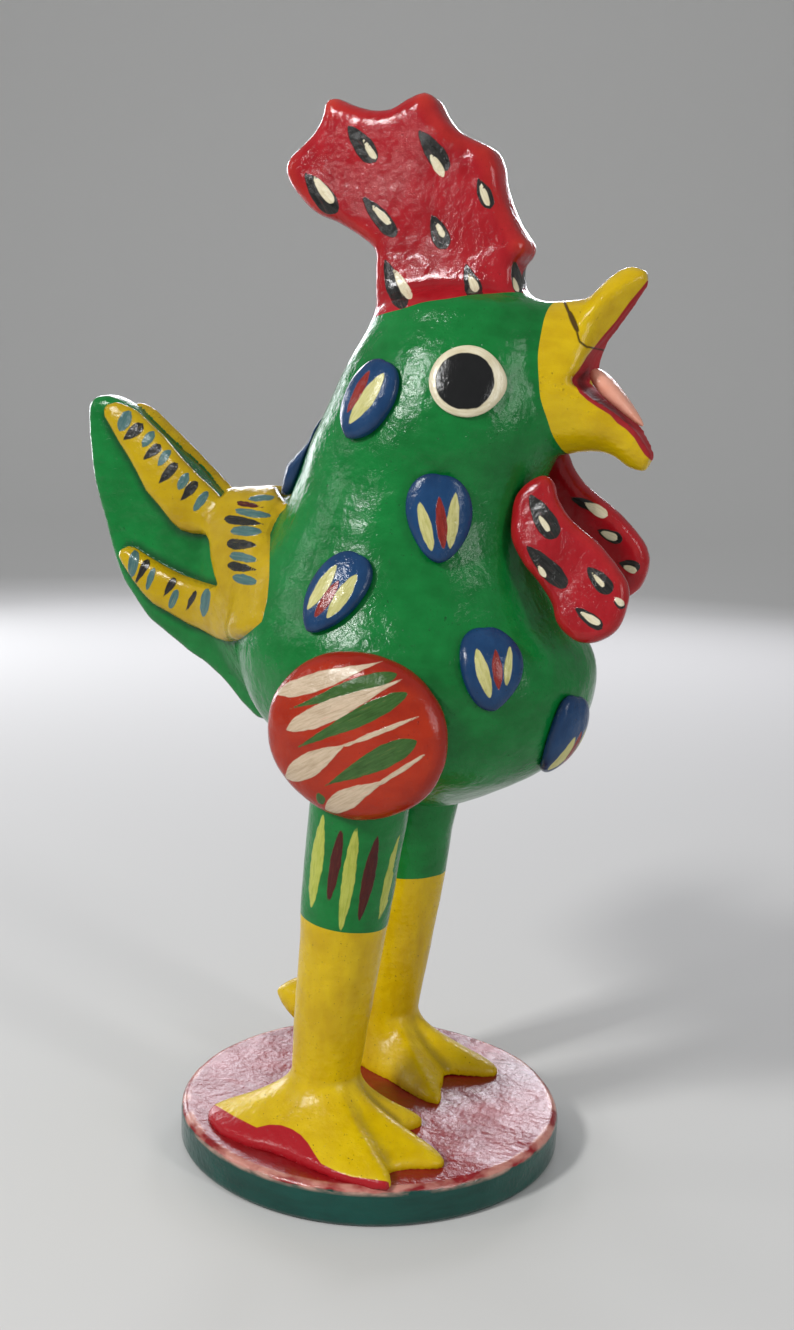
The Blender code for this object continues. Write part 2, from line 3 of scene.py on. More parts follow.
import bpy
import numpy as np
from mathutils import Matrix, Vector, geometry, noise
from mathutils.bvhtree import BVHTree


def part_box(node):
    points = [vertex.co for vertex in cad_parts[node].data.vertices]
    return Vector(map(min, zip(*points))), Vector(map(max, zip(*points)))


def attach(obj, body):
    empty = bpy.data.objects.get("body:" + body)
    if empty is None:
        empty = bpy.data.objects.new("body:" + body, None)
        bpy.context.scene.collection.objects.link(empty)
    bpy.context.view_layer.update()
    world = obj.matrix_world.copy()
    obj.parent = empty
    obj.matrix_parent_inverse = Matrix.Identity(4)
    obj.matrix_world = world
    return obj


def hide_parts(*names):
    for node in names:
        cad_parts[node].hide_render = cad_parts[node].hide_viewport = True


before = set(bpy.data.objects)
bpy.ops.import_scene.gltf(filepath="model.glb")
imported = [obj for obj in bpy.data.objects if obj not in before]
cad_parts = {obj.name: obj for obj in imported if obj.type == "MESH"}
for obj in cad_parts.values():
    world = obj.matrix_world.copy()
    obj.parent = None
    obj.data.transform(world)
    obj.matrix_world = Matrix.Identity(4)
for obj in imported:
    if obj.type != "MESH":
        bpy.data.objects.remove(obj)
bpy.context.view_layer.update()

# Sizes are in millimetres and angles in degrees; a piece turns into metres when it is made
MM = 0.001
BODY = "root"
SIDES = ((-1, "right"), (1, "left"))
PLINTH_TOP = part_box("base_disc")[1].z / MM
PLINTH_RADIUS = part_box("base_disc")[1].x / MM
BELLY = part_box("body_bowl")[0].z / MM

# Camera: it stands to the bird's right and a little ahead of square on, and looks slightly down
PHOTO_WIDTH = 794
PHOTO_HEIGHT = 1330
CAMERA_LENS = 40.0
CAMERA_SENSOR = 36.0
CAMERA_TURN = 22.0
CAMERA_PITCH = 9.76
CAMERA_ROLL = -2.13
CAMERA_DISTANCE = 301.9
CAMERA_ASIDE = 2.3
CAMERA_HEIGHT = 154.9
CAMERA_CLIP = 0.01
FOCAL_PIXELS = CAMERA_LENS / CAMERA_SENSOR * PHOTO_HEIGHT

# Bird: height above the belly, centre along X, half length, half width
BIRD_SECTIONS = (
    (0, 9.5, 0.5, 0.5), (1, 9.5, 6.5, 6), (3, 9.6, 11.6, 11.3),
    (5.6, 9.4, 17.1, 16.4), (9, 9, 23.5, 22.2), (13.6, 8.5, 29.5, 27),
    (19.5, 7.4, 34.1, 30.8), (25.7, 6.8, 36.5, 32.5), (31, 6.2, 37.3, 33),
    (36, 5.5, 36.3, 32.2), (42, 3.5, 33, 29.7), (50, 2.5, 29.5, 26.2),
    (58, 3.6, 26.4, 23.8), (66.8, 6.2, 25, 22.2), (74, 8.9, 25.2, 21.9),
    (80, 11, 24.7, 21), (87.8, 12.7, 22.8, 19), (93, 13.9, 21.1, 17.2),
    (97, 14.5, 19.5, 15.2), (101, 14.1, 17.4, 13.2), (103.5, 12.8, 12.4, 9),
    (104.5, 12, 5, 4),
)

# Comb and tail: outlines in X and height above the belly
COMB_OUTLINE = (
    (1, 90), (-3.2, 100.4), (-3.9, 107), (-4.4, 111.2), (-8.3, 114.2), (-13.2, 116.9),
    (-17.5, 118.6), (-20.8, 121.2), (-23.6, 124.6), (-24.6, 127.2), (-23.7, 129.8),
    (-21.1, 132), (-18.5, 134.2), (-16.6, 137), (-16, 139.6), (-14, 140.4),
    (-10.3, 139), (-6, 138), (-2, 138.2), (1, 139.6), (4.6, 140.8), (6.8, 139.6),
    (8.2, 137.2), (10.2, 134.8), (12.8, 133), (16.8, 131.3), (19, 130), (20.4, 127),
    (21.1, 123.4), (22.6, 119.6), (24.4, 116.2), (27, 112.6), (26.6, 110.4), (25.4, 109),
    (25.1, 106.5), (26, 92),
)
COMB_ROOT_HALF = 6.0
COMB_TOP_HALF = 4.4
COMB_EDGE = 3.0
COMB_SPREAD = 4.0
TAIL_OUTLINE = (
    (-10, 54), (-26, 55.5), (-33, 57.5), (-40.4, 62.4), (-48.1, 68.8), (-56.4, 75.5),
    (-62, 79.8), (-66.8, 81.5), (-70.4, 79.8), (-70.7, 74.5), (-69.9, 66.7), (-68.7, 60.4),
    (-66.6, 54.2), (-62.8, 43.6), (-58.9, 37.8), (-55, 33.6), (-51.2, 31), (-45.6, 27.4),
    (-40.6, 24.6), (-36.4, 21.2), (-31.5, 16.6), (-26, 14), (-14, 20),
)
TAIL_HALF = 4.4
TAIL_EDGE = 2.6

# Root of the tail, where the body narrows to it: X, height above the belly, half height, half width
TAIL_ROOT_SECTIONS = (
    (-46, 45, 10, 3.6), (-41, 43.5, 14.5, 5.6), (-36, 43, 18, 8),
    (-30, 40.5, 21, 11.5), (-24, 39, 23, 16), (-17, 38.5, 24, 20.5),
    (-8, 39, 24, 24),
)

# Yellow band round the root of the tail with its two arms: outline on the near side, in the
# photograph's pixels
BAND_OUTLINE = (
    (103.7, 408.7), (107.5, 404), (117, 402), (126.6, 405.5), (137.5, 411.5), (148.4, 422),
    (166.7, 440), (183.5, 459.5), (201, 478), (214.5, 490.5), (221.5, 498), (226, 478),
    (250, 468), (270, 478), (282, 496), (284, 504), (277, 512), (271, 523),
    (267.6, 532), (266.3, 549.8), (265.8, 577.1), (264, 599), (258.5, 620.9), (246.6, 631),
    (236, 639.5), (228, 642), (220, 639.5), (206.6, 631.8), (188.4, 624.5), (170.1, 613.6),
    (153.8, 604.5), (142.8, 593.5), (131.9, 579), (122.8, 564.4), (118.6, 556), (120, 549.5),
    (126.4, 546.2), (133.7, 548), (144.6, 555.3), (162.9, 566.2), (181.1, 575.3), (199.3, 581.7),
    (213, 585.8), (219, 584), (215.7, 575.3), (212, 558.9), (210.6, 543), (207, 536),
    (202.9, 534.3), (192, 533.8), (181.1, 530.7), (172, 522.5), (159.2, 506.1), (146.5, 491.5),
    (137.4, 473.3), (128.3, 456.9), (119.1, 442.4), (110, 426), (104.6, 416.9),
)
PIXELS_TO_MM = 0.21
BAND_RISE = 2.6
BAND_EDGE = 2.0
BAND_FRONT = -17.0
BAND_FADE = 7.0
BAND_LEAST_RISE = 0.1
BAND_SEEN_RISE = 0.3
BAND_SCORES = (0.0, 0.25, 0.8, BAND_EDGE)
BAND_BACK = -12.0
BAND_OUTSIDE = -20.0
BAND_INSIDE = 0.6
BAND_ROUNDS = 25
BAND_GROOVE = 1.1
BAND_GROOVE_BEHIND = -38.5
BAND_GROOVE_FADE = 9.0

# Beak halves: mouth edge and outer line, each in X and height above the belly, half width, hollow
UPPER_BEAK_SECTIONS = (
    (25, 87.8, 24, 101, 11.2, 0), (35, 87.8, 32, 102.2, 10.4, 0),
    (38.9, 88, 36, 102.4, 9, 0.4), (40.4, 91.7, 38.8, 102.8, 7.9, 0.6),
    (42.4, 94.5, 41.2, 104.8, 6.9, 0.6), (44.7, 97.6, 43.7, 107, 5.7, 0.5),
    (47.4, 101.4, 46.6, 108.3, 4, 0.3), (50, 105.2, 49.4, 107.8, 2, 0.1),
)
LOWER_BEAK_SECTIONS = (
    (25, 87.2, 26, 75.4, 11.2, 0), (35, 87.2, 33.5, 73.2, 10.2, 0),
    (39.4, 86.2, 36.5, 73.4, 9, 0.6), (42.4, 84, 39.8, 74, 8.1, 1),
    (45.2, 82.4, 43, 74.1, 7.1, 1.1), (48, 80.3, 46, 73.3, 5.7, 0.9),
    (50.6, 77.8, 48.7, 71.4, 4.2, 0.5), (53.1, 74, 51.7, 70.5, 2.2, 0.2),
)
MOUTH_PINCH = (0.28, 0.86)
MOUTH_CORNER = 38.5
MOUTH_CHEEK = 3.8
MOUTH_BACK = (41.5, 87.0)
MOUTH_BACK_HALVES = (6.5, 7.6, 5.5)
MOUTH_BACK_PIXELS = 20.0
FAR_LINING = 4.5
FAR_LINING_FROM = 3.0
BEAK_BULGE = 0.15
BEAK_SHOULDER = 1.7

# Red lining of the mouth: its outline on the near side, in the photograph's pixels
MOUTH_LINING = (
    (647, 281), (641, 288.5), (629.5, 302), (615.5, 321.5), (602, 337), (595, 346),
    (586, 357.5), (580.6, 368.9), (576, 380.3), (575.4, 385), (579.4, 392.9), (587.4, 400.3),
    (596.6, 406.6), (610.3, 415.1), (617.1, 423.1), (626.3, 429.4), (634.3, 438), (640, 447.7),
    (644.6, 454.6), (651.4, 460.9), (664, 464), (690, 440), (690, 270), (656, 276),
)
TONGUE_CENTRE = (45.5, 84.3)
TONGUE_HALVES = (7.3, 3.3, 1.5)
TONGUE_DROOP = 44.0
TONGUE_TAPER = 0.4

# Wattles: one outline, hung on both sides of the throat
WATTLE_OUTLINE = (
    (33, 69.3), (30, 67.6), (28, 64.8), (27.6, 61), (28.2, 56.5), (30.8, 52.5),
    (34.3, 48.8), (37.3, 45), (38.5, 42), (40.6, 39.8), (43.6, 38.4), (47.2, 38.9),
    (50.4, 41.6), (51.9, 46), (51.6, 49.6), (49.4, 52.9), (46, 56.4), (42.2, 59.2),
    (38.9, 61.7), (36.4, 65), (35, 68.2),
)
WATTLE_HALF = 2.6
WATTLE_EDGE = 2.3
WATTLE_SPLAY = 12.0
RIGHT_WATTLE_SPOT = (1.0, -7.0, 0.0)
LEFT_WATTLE_SPOT = (-1.0, 7.0, 5.2)

# Legs: ankle and hip centres in X and Y, and the toes' directions and reaches
RIGHT_ANKLE = (-4.7, -15.7)
RIGHT_HIP = (6.0, -23.0)
LEFT_ANKLE = (-6.2, 20.0)
LEFT_HIP = (2.4, 19.8)
HIP_HEIGHT = 16.0
ANKLE_RADIUS = 7.2
THIGH_RADIUS = 9.9
HIP_SHARE = 0.83
FOOT_HEIGHT = 12.0
FOOT_RISE = ((0.0, 1.0), (0.12, 0.99), (0.19, 0.92), (0.30, 0.74), (0.42, 0.54), (0.56, 0.34),
             (0.70, 0.18), (0.85, 0.06), (1.0, 0.0))
FOOT_SINK = 0.3

# Outline of each foot round its ankle: direction in degrees, reach
RIGHT_FOOT = (
    (-178, 17), (-167, 22), (-158, 23.5), (-140, 22), (-122, 19.5), (-98, 17.5),
    (-76, 19.5), (-60, 24), (-48, 28), (-39.5, 31.2), (-34, 26), (-24, 27), (-13, 31.2),
    (-5, 24.5), (6, 18), (20, 21.4), (31, 17), (60, 11), (100, 9.5), (150, 11),
)
LEFT_FOOT = (
    (-178, 12), (-163, 12), (-150, 11), (-125, 9.5), (-93, 8.8), (-62, 13.5),
    (-50, 21), (-41, 28), (-31, 23), (-14, 18.5), (-6, 23), (2, 28.2), (14, 24),
    (26, 19), (44, 15), (70, 10.5), (110, 9.2), (155, 10),
)

# Red paint that runs up the near side of the near foot: its outline in the photograph's pixels
RED_HEM = (
    (196, 1096), (219, 1107), (233, 1115.5), (246.6, 1122.5), (256.6, 1127.5),
    (269.3, 1124.5), (281, 1125), (292.1, 1129), (301, 1135), (308, 1143),
    (314, 1153), (321, 1163.5), (335, 1170.5), (351, 1176.5), (370, 1179),
    (388.5, 1181.5), (392, 1200), (300, 1195), (180, 1130),
)
SPUR_ROOT = (-12.0, 18.5, 17.5)
SPUR_TIP = (-29.6, 12.8, 21.6)
SPUR_RADIUS = 8.4
SPUR_TIP_RADIUS = 0.3
SPUR_FULLNESS = 0.75

# Pads pressed on to the skin: spots in X and height above the belly, or in degrees round the bird
# and height; halves across, up and out; each feather with its lean in degrees
WING_SPOT = (8.0, 20.4)
WING_HALVES = (18.2, 16.0, 5.8)
WING_STAND_OFF = 1.0
EYE_SPOT = (21.4, 86.2)
EYE_HALVES = (6.9, 6.7, 1.3)
FEATHER_THICKNESS = 3.0
SIDE_FEATHERS = (
    ("neck", 2.6, 81.8, -20, 5.7, 8.3), ("throat", 17.6, 60.8, 0, 6.2, 8.1),
    ("shoulder", 0.9, 45.8, -25, 5.7, 8.5), ("breast", 30.8, 34.2, 4, 6, 8),
)
FRONT_FEATHER = (-13.5, 19.6, 1.0, 5.8, 8.8)
BACK_FEATHER = (186.0, 69.8, 4.0, 6.0, 8.6)
BACK_FEATHER_THICKNESS = 3.7
FRONT_YELLOW = ((-3, 6, -6, -25, 10), (13, 10, 11, -22, 8))
FRONT_RED = ((4, 8, 3, -24, 8),)
FRONT_FACE = (20.0, 30.0)
PAD_NEAREST = 2.5
PAD_RIM_SHARE = 0.35
PAD_SINK = 1.0
PAD_DOME = 0.75
PAD_SEARCH = 15.0
FEATHER_SEED = 1.7
FEATHER_TOP = 0.16
FEATHER_WOBBLES = ((0.035, 2, 1.0), (0.025, 3, 2.1))
BACK_FEATHER_SWELL = (0.22, 0.4, 0.7)
EYE_POINT = (0.10, 0.45)
EYE_RING = (0.79, 0.05, 0.6)
EYE_BRUSH = 34.0
EYE_BRUSH_ROUND = 30.0
WING_RIM = 0.93
WING_BRUSH = 17.0

# Plinth: its rounded edges, how far from round it is, the worn line on its upper edge, and how far
# under the top the red paint ends, with that line's waver and softness
PLINTH_MIDDLE = 0.5
PLINTH_EDGE = 1.6
PLINTH_LOWER_EDGE = 1.0
PLINTH_WOBBLES = ((0.004, 2, 0.6), (0.003, 5, 2.0))
PLINTH_RIM_REACH = 1.1
PLINTH_RIM_IN = 0.8
PLINTH_RIM_DOWN = 0.5
PLINTH_LINE = (0.9, 1.4, 0.25)

# Where one colour meets the next
COMB_LINE = (173.0, 0.19)
COMB_FRONT = 31.0
BEAK_LINE = (32.4, 0.009, 169.5)
BEAK_LOWEST = 125.0
RIGHT_STOCKING = (55.0, 0.11)
LEFT_STOCKING = (53.6, 0.0)
TAIL_SEAM = -32.5
MOUTH_SCORES = (-0.6, 0.6)
CRACK_SCORES = (-1.2, 0.0, 0.8)
HEM_SCORES = (-0.8, 0.8)
THIGH_OUTWARD = 0.1

# Brush marks in the photograph's pixels: start, end and width of each
COMB_SEEDS = (
    (347, 124, 375, 162, 20), (418.5, 130, 447, 170, 20), (304, 172, 336, 213, 21),
    (361.5, 195.5, 396, 236, 17), (478, 178, 490.5, 208, 15), (432, 214.5, 445, 249, 18),
    (384.5, 259, 404, 308.5, 19), (465, 263, 478, 303.5, 17), (514, 259, 519, 294, 11),
)
COMB_DROPS = (
    (362, 138, 376, 160, 7), (429, 153, 444, 177, 9), (313, 176, 333, 203, 10),
    (370, 204, 391, 224.5, 7), (479.5, 181, 488.5, 206, 7), (435, 221.5, 444, 237, 6.5),
    (392, 266, 411, 299, 9.5), (468, 272.5, 477, 292, 8), (513, 277, 518, 292, 5),
)
NEAR_WATTLE_SEEDS = (
    (529, 494, 556, 538, 22), (526, 545.5, 566, 587, 19), (587, 567, 611, 593, 18),
    (574.5, 607.5, 602, 628, 13), (613, 601, 624.5, 607, 7),
)
NEAR_WATTLE_DROPS = (
    (539, 515.5, 549.5, 532, 6), (537, 564, 545.5, 577, 5), (591, 572, 604.5, 587, 5),
    (580, 612, 600, 624, 7.5), (613.5, 597, 624, 605, 7),
)
FAR_WATTLE_SEEDS = ((569, 497, 597, 509, 10), (597, 530, 622, 541, 12.5), (619, 562.5, 640, 568, 12))
FAR_WATTLE_DROPS = ((584, 502.5, 607, 516, 11), (600, 531.5, 617, 539, 8), (623, 566, 636.5, 571.5, 7))
WING_CREAM = (
    (383, 661, 277, 694, 19), (403, 679, 286, 730, 22), (350, 742, 285.5, 778, 24),
    (386, 780, 325.5, 809.5, 21),
)
WING_TAILS = ((420, 716, 342, 747, 5), (425, 754.5, 378, 785, 5))
WING_GREEN = (
    (286, 710, 397, 674, 18), (290, 751, 408, 693, 19), (319, 788.5, 417, 741, 23),
    (316, 790, 323, 804, 8),
)
THIGH_CREAM = ((323, 815, 311, 908, 12), (357, 825, 340, 932, 13), (403, 829, 379, 920, 10))
THIGH_RED = ((342, 827, 328, 903, 11), (378, 835, 359, 921, 12))
BEAK_CRACK = ((563, 298, 573, 322, 2.6), (569, 311, 578, 332, 5.2), (576, 328, 580, 343, 1.6),
              (579, 341, 588, 348, 1.8), (584, 346, 597, 349, 1.4))
FEATHER_YELLOW = (
    (384, 373, 349, 424, 15), (419, 501, 432, 552, 12), (456, 492, 450, 549, 12),
    (337, 564, 307, 610, 12), (357, 574, 327, 618, 14), (476.5, 648, 490, 698, 13),
    (510, 646, 506.5, 688, 8),
)
FEATHER_RED = (
    (370, 370, 347, 413, 9), (439, 496, 443.5, 549, 10.5), (339, 580, 315, 617, 10),
    (495.5, 650, 499, 690, 10),
)
BAND_BLUE = (
    (119.5, 431, 129.5, 411, 13), (142, 447, 154, 431.5, 9.5), (157.5, 466, 170, 450, 8.5),
    (178, 490, 187.5, 473, 9.5), (193.5, 511, 208, 491, 8.5), (272, 516, 234.5, 510.5, 8),
    (262.5, 531.5, 230, 530.5, 10), (257.5, 560.5, 229.5, 555, 9), (258, 582.5, 232.5, 577, 10),
    (131, 577.5, 135.5, 550, 10), (146.5, 590, 154, 567.5, 7), (170, 608.5, 177.5, 589, 8.5),
    (203, 617, 207.5, 588.5, 9.5),
)
BAND_BLACK = (
    (122, 441, 142.5, 424, 11.5), (142.5, 460, 160.5, 445, 10.5), (157.5, 485, 177, 463, 10),
    (179.5, 502, 197, 482, 10), (265, 524.5, 224, 518.5, 9), (260, 545.5, 227, 543.5, 10.5),
    (258, 570, 227.5, 565, 9.5), (135.5, 583, 148.5, 559.5, 8), (163, 597.5, 175, 578, 8),
    (185, 613, 196, 590.5, 5),
)
BAND_BROWN = ((266, 508, 236.5, 502.5, 5.5),)
BAND_GREY = ((275, 497, 248, 499, 6),)

# Fullness of a brush mark near its start and its end
TEARDROP = (0.85, 0.45)
WING_TEARDROP = (1.5, 0.7)
LEAF = (0.8, 0.8)
DAB = (1.1, 0.45)
ROUND_DAB = (0.55, 0.45)
HAIRLINE = (0.3, 0.3)

# Depths that stand for no mark, and the step in the noise from one brush mark to the next
NO_MARK = -50.0
UNMARKED = -9.0
NEXT_BRUSH = 7.3

# Clay: size of the mesh's squares, how far and how much a joint is smoothed, the size, depth and
# seed of the dents and of a painted line's waver, the two steps that even out ripples, how finely
# the forms are drawn, and how far off a search for the skin starts
SKIN_GRAIN = 0.65
PAD_GRAIN = 0.45
JOINT_REACH = 6.5
JOINT_SHARE = 0.55
JOINT_ROUNDS = 18
DENTS = ((13.0, 0.34, 3.1), (4.5, 0.11, 7.7))
WAVER = (6.0, 0.35, 5.3)
EVENING = (0.5, -0.53)
SPANS = 5
BIRD_SIDES = 96
TAIL_ROOT_SIDES = 64
LEG_SIDES = 180
PLINTH_SIDES = 220
OUT_OF_REACH = 100.0

# Studio: floor and backdrop, the light of the room, and the lamps with their power in watts, size,
# place and colour
FLOOR_FRONT = -1200.0
FLOOR_BACK = 900.0
FLOOR_CURVE = 500.0
BACKDROP_TOP = 2000.0
BACKDROP_HALF = 2200.0
FLOOR_GAP = 0.1
FLOOR_GREY = (0.60, 0.595, 0.58)
ROOM_LIGHT = (0.95, 0.97, 1.0, 1.0)
ROOM_STRENGTH = 0.42
WHITE = (1.0, 1.0, 1.0)
DAYLIGHT = (0.93, 0.95, 1.0)
SKYLIGHT = (0.92, 0.92, 1.0)
LAMP_AIM = (0.0, 0.0, 110.0)
LAMPS = (
    ("key", 4.7, (120, 120), (-345.0, -640.0, 590.0), WHITE),
    ("left_window", 1.6, (220, 300), (-700.0, 400.0, 200.0), DAYLIGHT),
    ("front_window", 0.27, (50, 45), (-366.0, -703.0, 382.0), WHITE),
    ("flank_window", 0.34, (80, 80), (-690.0, -315.0, 420.0), WHITE),
    ("back_window_left", 1.6, (330, 160), (-527.0, 706.0, 392.0), SKYLIGHT),
    ("back_window_right", 1.7, (264, 160), (-125.0, 868.0, 392.0), SKYLIGHT),
    ("side", 1.2, (70, 420), (640.0, -260.0, 320.0), WHITE),
)

# Paint: tones from deep to pale, in linear light
GREEN = ((0.001, 0.105, 0.016), (0.002, 0.174, 0.030), (0.009, 0.238, 0.048))
CRIMSON = ((0.230, 0.003, 0.006), (0.365, 0.007, 0.013), (0.470, 0.022, 0.030))
BRICK = ((0.165, 0.003, 0.004), (0.265, 0.006, 0.009), (0.350, 0.018, 0.022))
YELLOW = ((0.470, 0.290, 0.001), (0.660, 0.450, 0.001), (0.760, 0.560, 0.008))
# The band's yellow: the beak's and legs' yellow darkened, as painted shade over the tail band
YELLOW_IN_PAINTED_SHADE = ((0.330, 0.200, 0.001), (0.480, 0.320, 0.001), (0.580, 0.410, 0.008))
ORANGE = ((0.210, 0.008, 0.002), (0.410, 0.024, 0.004), (0.500, 0.048, 0.012))
BLUE = ((0.004, 0.026, 0.080), (0.008, 0.052, 0.150), (0.028, 0.092, 0.215))
TEAL = ((0.000, 0.030, 0.023), (0.000, 0.056, 0.042), (0.002, 0.088, 0.068))
BLACK = ((0.002, 0.002, 0.002), (0.004, 0.004, 0.004), (0.010, 0.010, 0.010))
SALMON = ((0.700, 0.280, 0.180), (0.800, 0.390, 0.280), (0.860, 0.500, 0.400))
CREAM = ((0.560, 0.480, 0.300), (0.760, 0.700, 0.520))
PINK_CREAM = ((0.420, 0.310, 0.200), (0.640, 0.510, 0.370))
PALE_YELLOW = ((0.300, 0.350, 0.040), (0.500, 0.520, 0.100))
STRAW = ((0.400, 0.380, 0.110), (0.640, 0.600, 0.270))
DARK_RED = ((0.045, 0.004, 0.003), (0.085, 0.009, 0.006))
GREY_BLUE = ((0.040, 0.100, 0.105), (0.085, 0.175, 0.160))
BLACK_INK = ((0.006, 0.006, 0.005), (0.030, 0.030, 0.028))
RED_INK = ((0.160, 0.010, 0.008), (0.300, 0.030, 0.020))
GREEN_INK = ((0.026, 0.070, 0.012), (0.050, 0.135, 0.030))
# Colours for dirt specks, also used as painted shade in the creases
DIRT_AND_SHADE_GREEN = (0.003, 0.045, 0.012)
DIRT_AND_SHADE_RED = (0.100, 0.006, 0.006)
DIRT_AND_SHADE_YELLOW = (0.200, 0.130, 0.004)
DIRT_AND_SHADE_BLUE = (0.004, 0.014, 0.050)
CRACK_BROWN = (0.040, 0.016, 0.004)
# Lighter red on the comb's and wattles' ridges: paint worn thin there, and a painted highlight
COMB_WORN_EDGE_AND_HIGHLIGHT_RED = (0.600, 0.055, 0.026)
WING_EDGE_RED = (0.260, 0.014, 0.008)
PLINTH_EDGE_PINK = (0.780, 0.420, 0.330)


# Camera

def make_camera():
    turn, pitch, roll = (math.radians(a) for a in (CAMERA_TURN, CAMERA_PITCH, CAMERA_ROLL))
    aside = Vector((math.cos(turn), math.sin(turn), 0.0))
    ahead = Vector((-math.sin(turn), math.cos(turn), 0.0))
    place = aside * CAMERA_ASIDE - ahead * CAMERA_DISTANCE + Vector((0, 0, CAMERA_HEIGHT))
    look = ahead * math.cos(pitch) - Vector((0, 0, math.sin(pitch)))
    over = aside.cross(look)
    right = aside * math.cos(roll) - over * math.sin(roll)
    up = aside * math.sin(roll) + over * math.cos(roll)
    data = bpy.data.cameras.new("camera")
    data.lens = CAMERA_LENS
    data.sensor_width = CAMERA_SENSOR
    data.clip_start = CAMERA_CLIP
    camera = bpy.data.objects.new("camera", data)
    camera.matrix_world = Matrix.Translation(place * MM) @ Matrix((right, up, -look)).transposed().to_4x4()
    bpy.context.scene.collection.objects.link(camera)
    bpy.context.scene.camera = camera
    return np.array(place), np.array(right), np.array(up), np.array(look)


CAMERA_PLACE, CAMERA_RIGHT, CAMERA_UP, CAMERA_LOOK = make_camera()


def in_photo(points):
    """Where points appear in the photograph, in its pixels from the top left."""
    away = points - CAMERA_PLACE
    depth = away @ CAMERA_LOOK
    x = PHOTO_WIDTH / 2 + FOCAL_PIXELS * (away @ CAMERA_RIGHT) / depth
    y = PHOTO_HEIGHT / 2 - FOCAL_PIXELS * (away @ CAMERA_UP) / depth
    return np.stack([x, y], 1)


def near_side(points):
    """The points of both sides, all on the side that the camera sees."""
    return np.stack([points[:, 0], -np.abs(points[:, 1]), points[:, 2]], 1)


def near_pixels(points):
    """Where points appear in the photograph, with the far side as the mirror image of the near one."""
    return in_photo(near_side(points))


# Clay forms: arrays of points and of triangles between them

def smooth_line(points, spans, closed=False):
    """Points along a smooth curve through the given ones, so many to each span."""
    line = np.array(points, float)
    if closed:
        line = np.vstack([line[-1], line, line[:2]])
    else:
        line = np.vstack([2 * line[0] - line[1], line, 2 * line[-1] - line[-2]])
    t = (np.arange(spans) / spans)[:, None]
    made = []
    for a, b, c, d in zip(line, line[1:], line[2:], line[3:]):
        made.append(b + 0.5 * t * (c - a + t * (2 * a - 5 * b + 4 * c - d + t * (3 * (b - c) + d - a))))
    if not closed:
        made.append(line[-2:-1])
    return np.vstack(made)


def once_round(sides):
    """Equally spaced angles."""
    return np.arange(sides) * 2 * math.pi / sides


def level_ring(middle, reach_x, reach_y, z, turn):
    """A ring of points at one height, at these angles round its middle."""
    return np.stack([middle[0] + reach_x * np.cos(turn), middle[1] + reach_y * np.sin(turn),
                     np.full(len(turn), z)], 1)


def between_rings(count, sides):
    """Triangles between rings of equally many points, each ring numbered after the one before."""
    i = np.arange(sides)
    j = (i + 1) % sides
    ring = (np.arange(count - 1) * sides)[:, None]
    low_i, low_j = ring + i, ring + j
    first = np.stack([low_i, low_j, low_j + sides], -1)
    second = np.stack([low_i, low_j + sides, low_i + sides], -1)
    return np.vstack([first.reshape(-1, 3), second.reshape(-1, 3)])


def lofted(rings):
    """A solid through rings of points, closed at each end by a fan round its middle."""
    rings = np.array(rings, float)
    count, sides = rings.shape[:2]
    points = np.vstack([rings.reshape(-1, 3), rings[0].mean(0), rings[-1].mean(0)])
    i = np.arange(sides)
    j = (i + 1) % sides
    first, last = count * sides, count * sides + 1
    start = np.stack([j, i, np.full(sides, first)], 1)
    end = np.stack([i, j, np.full(sides, last)], 1)
    end[:, :2] += (count - 1) * sides
    return points, np.vstack([between_rings(count, sides), start, end])


def slab(line, half_at, edge, rounds=5):
    """A solid cut from flat clay: an outline in X and Z, a half thickness and a rounded rim.

    The rim is narrower where the outline is too narrow to hold it.
    """
    ahead = np.roll(line, -1, 0) - np.roll(line, 1, 0)
    turning = np.sum(line[:, 0] * np.roll(line[:, 1], -1) - np.roll(line[:, 0], -1) * line[:, 1])
    inward = np.stack([-ahead[:, 1], ahead[:, 0]], 1) * np.sign(turning)
    inward /= np.linalg.norm(inward, axis=1, keepdims=True)
    room = np.zeros(len(line))
    for step in np.linspace(0, edge, 13)[1:]:
        room[inside_by(line, line + inward * step) > 0.9 * step] = step
    rings = []
    for turn in np.linspace(-math.pi / 2, math.pi / 2, 2 * rounds + 1):
        flat = line + inward * np.minimum(edge * (1 - math.cos(turn)), room)[:, None]
        y = (half_at(flat[:, 1]) - edge) * np.sign(turn) + edge * math.sin(turn)
        rings.append(np.stack([flat[:, 0], y, flat[:, 1]], 1))
    count, sides = len(rings), len(line)
    cap = np.array(geometry.tessellate_polygon([[Vector(p) for p in rings[0]]]))
    corners = np.vstack([between_rings(count, sides), cap, cap[:, ::-1] + (count - 1) * sides])
    return np.vstack(rings), corners


def pebble(halves, fullness=0.35, rings=24, sides=64):
    """A round flat pad with a full edge, flat in its own X and Z."""
    turn = once_round(sides)
    rows = []
    for lift in np.linspace(-math.pi / 2, math.pi / 2, rings + 1)[1:-1]:
        rim = math.cos(lift) ** (1 - fullness)
        rows.append(np.stack([halves[0] * rim * np.cos(turn), np.full(sides, halves[2] * math.sin(lift)),
                              halves[1] * rim * np.sin(turn)], 1))
    return lofted(rows)


def moved(form, matrix):
    points, corners = form
    turn = np.array(matrix.to_3x3())
    return points @ turn.T + np.array(matrix.translation), corners


def tree_of(form):
    return BVHTree.FromPolygons(form[0].tolist(), form[1].tolist())


def facing(points, corners):
    """The outward normal at each point."""
    a, b, c = (points[corners[:, k]] for k in range(3))
    flat = np.cross(b - a, c - a)
    total = np.zeros_like(points)
    for k in range(3):
        for axis in range(3):
            total[:, axis] += np.bincount(corners[:, k], flat[:, axis], len(points))
    return total / np.maximum(np.linalg.norm(total, axis=1, keepdims=True), 1e-12)


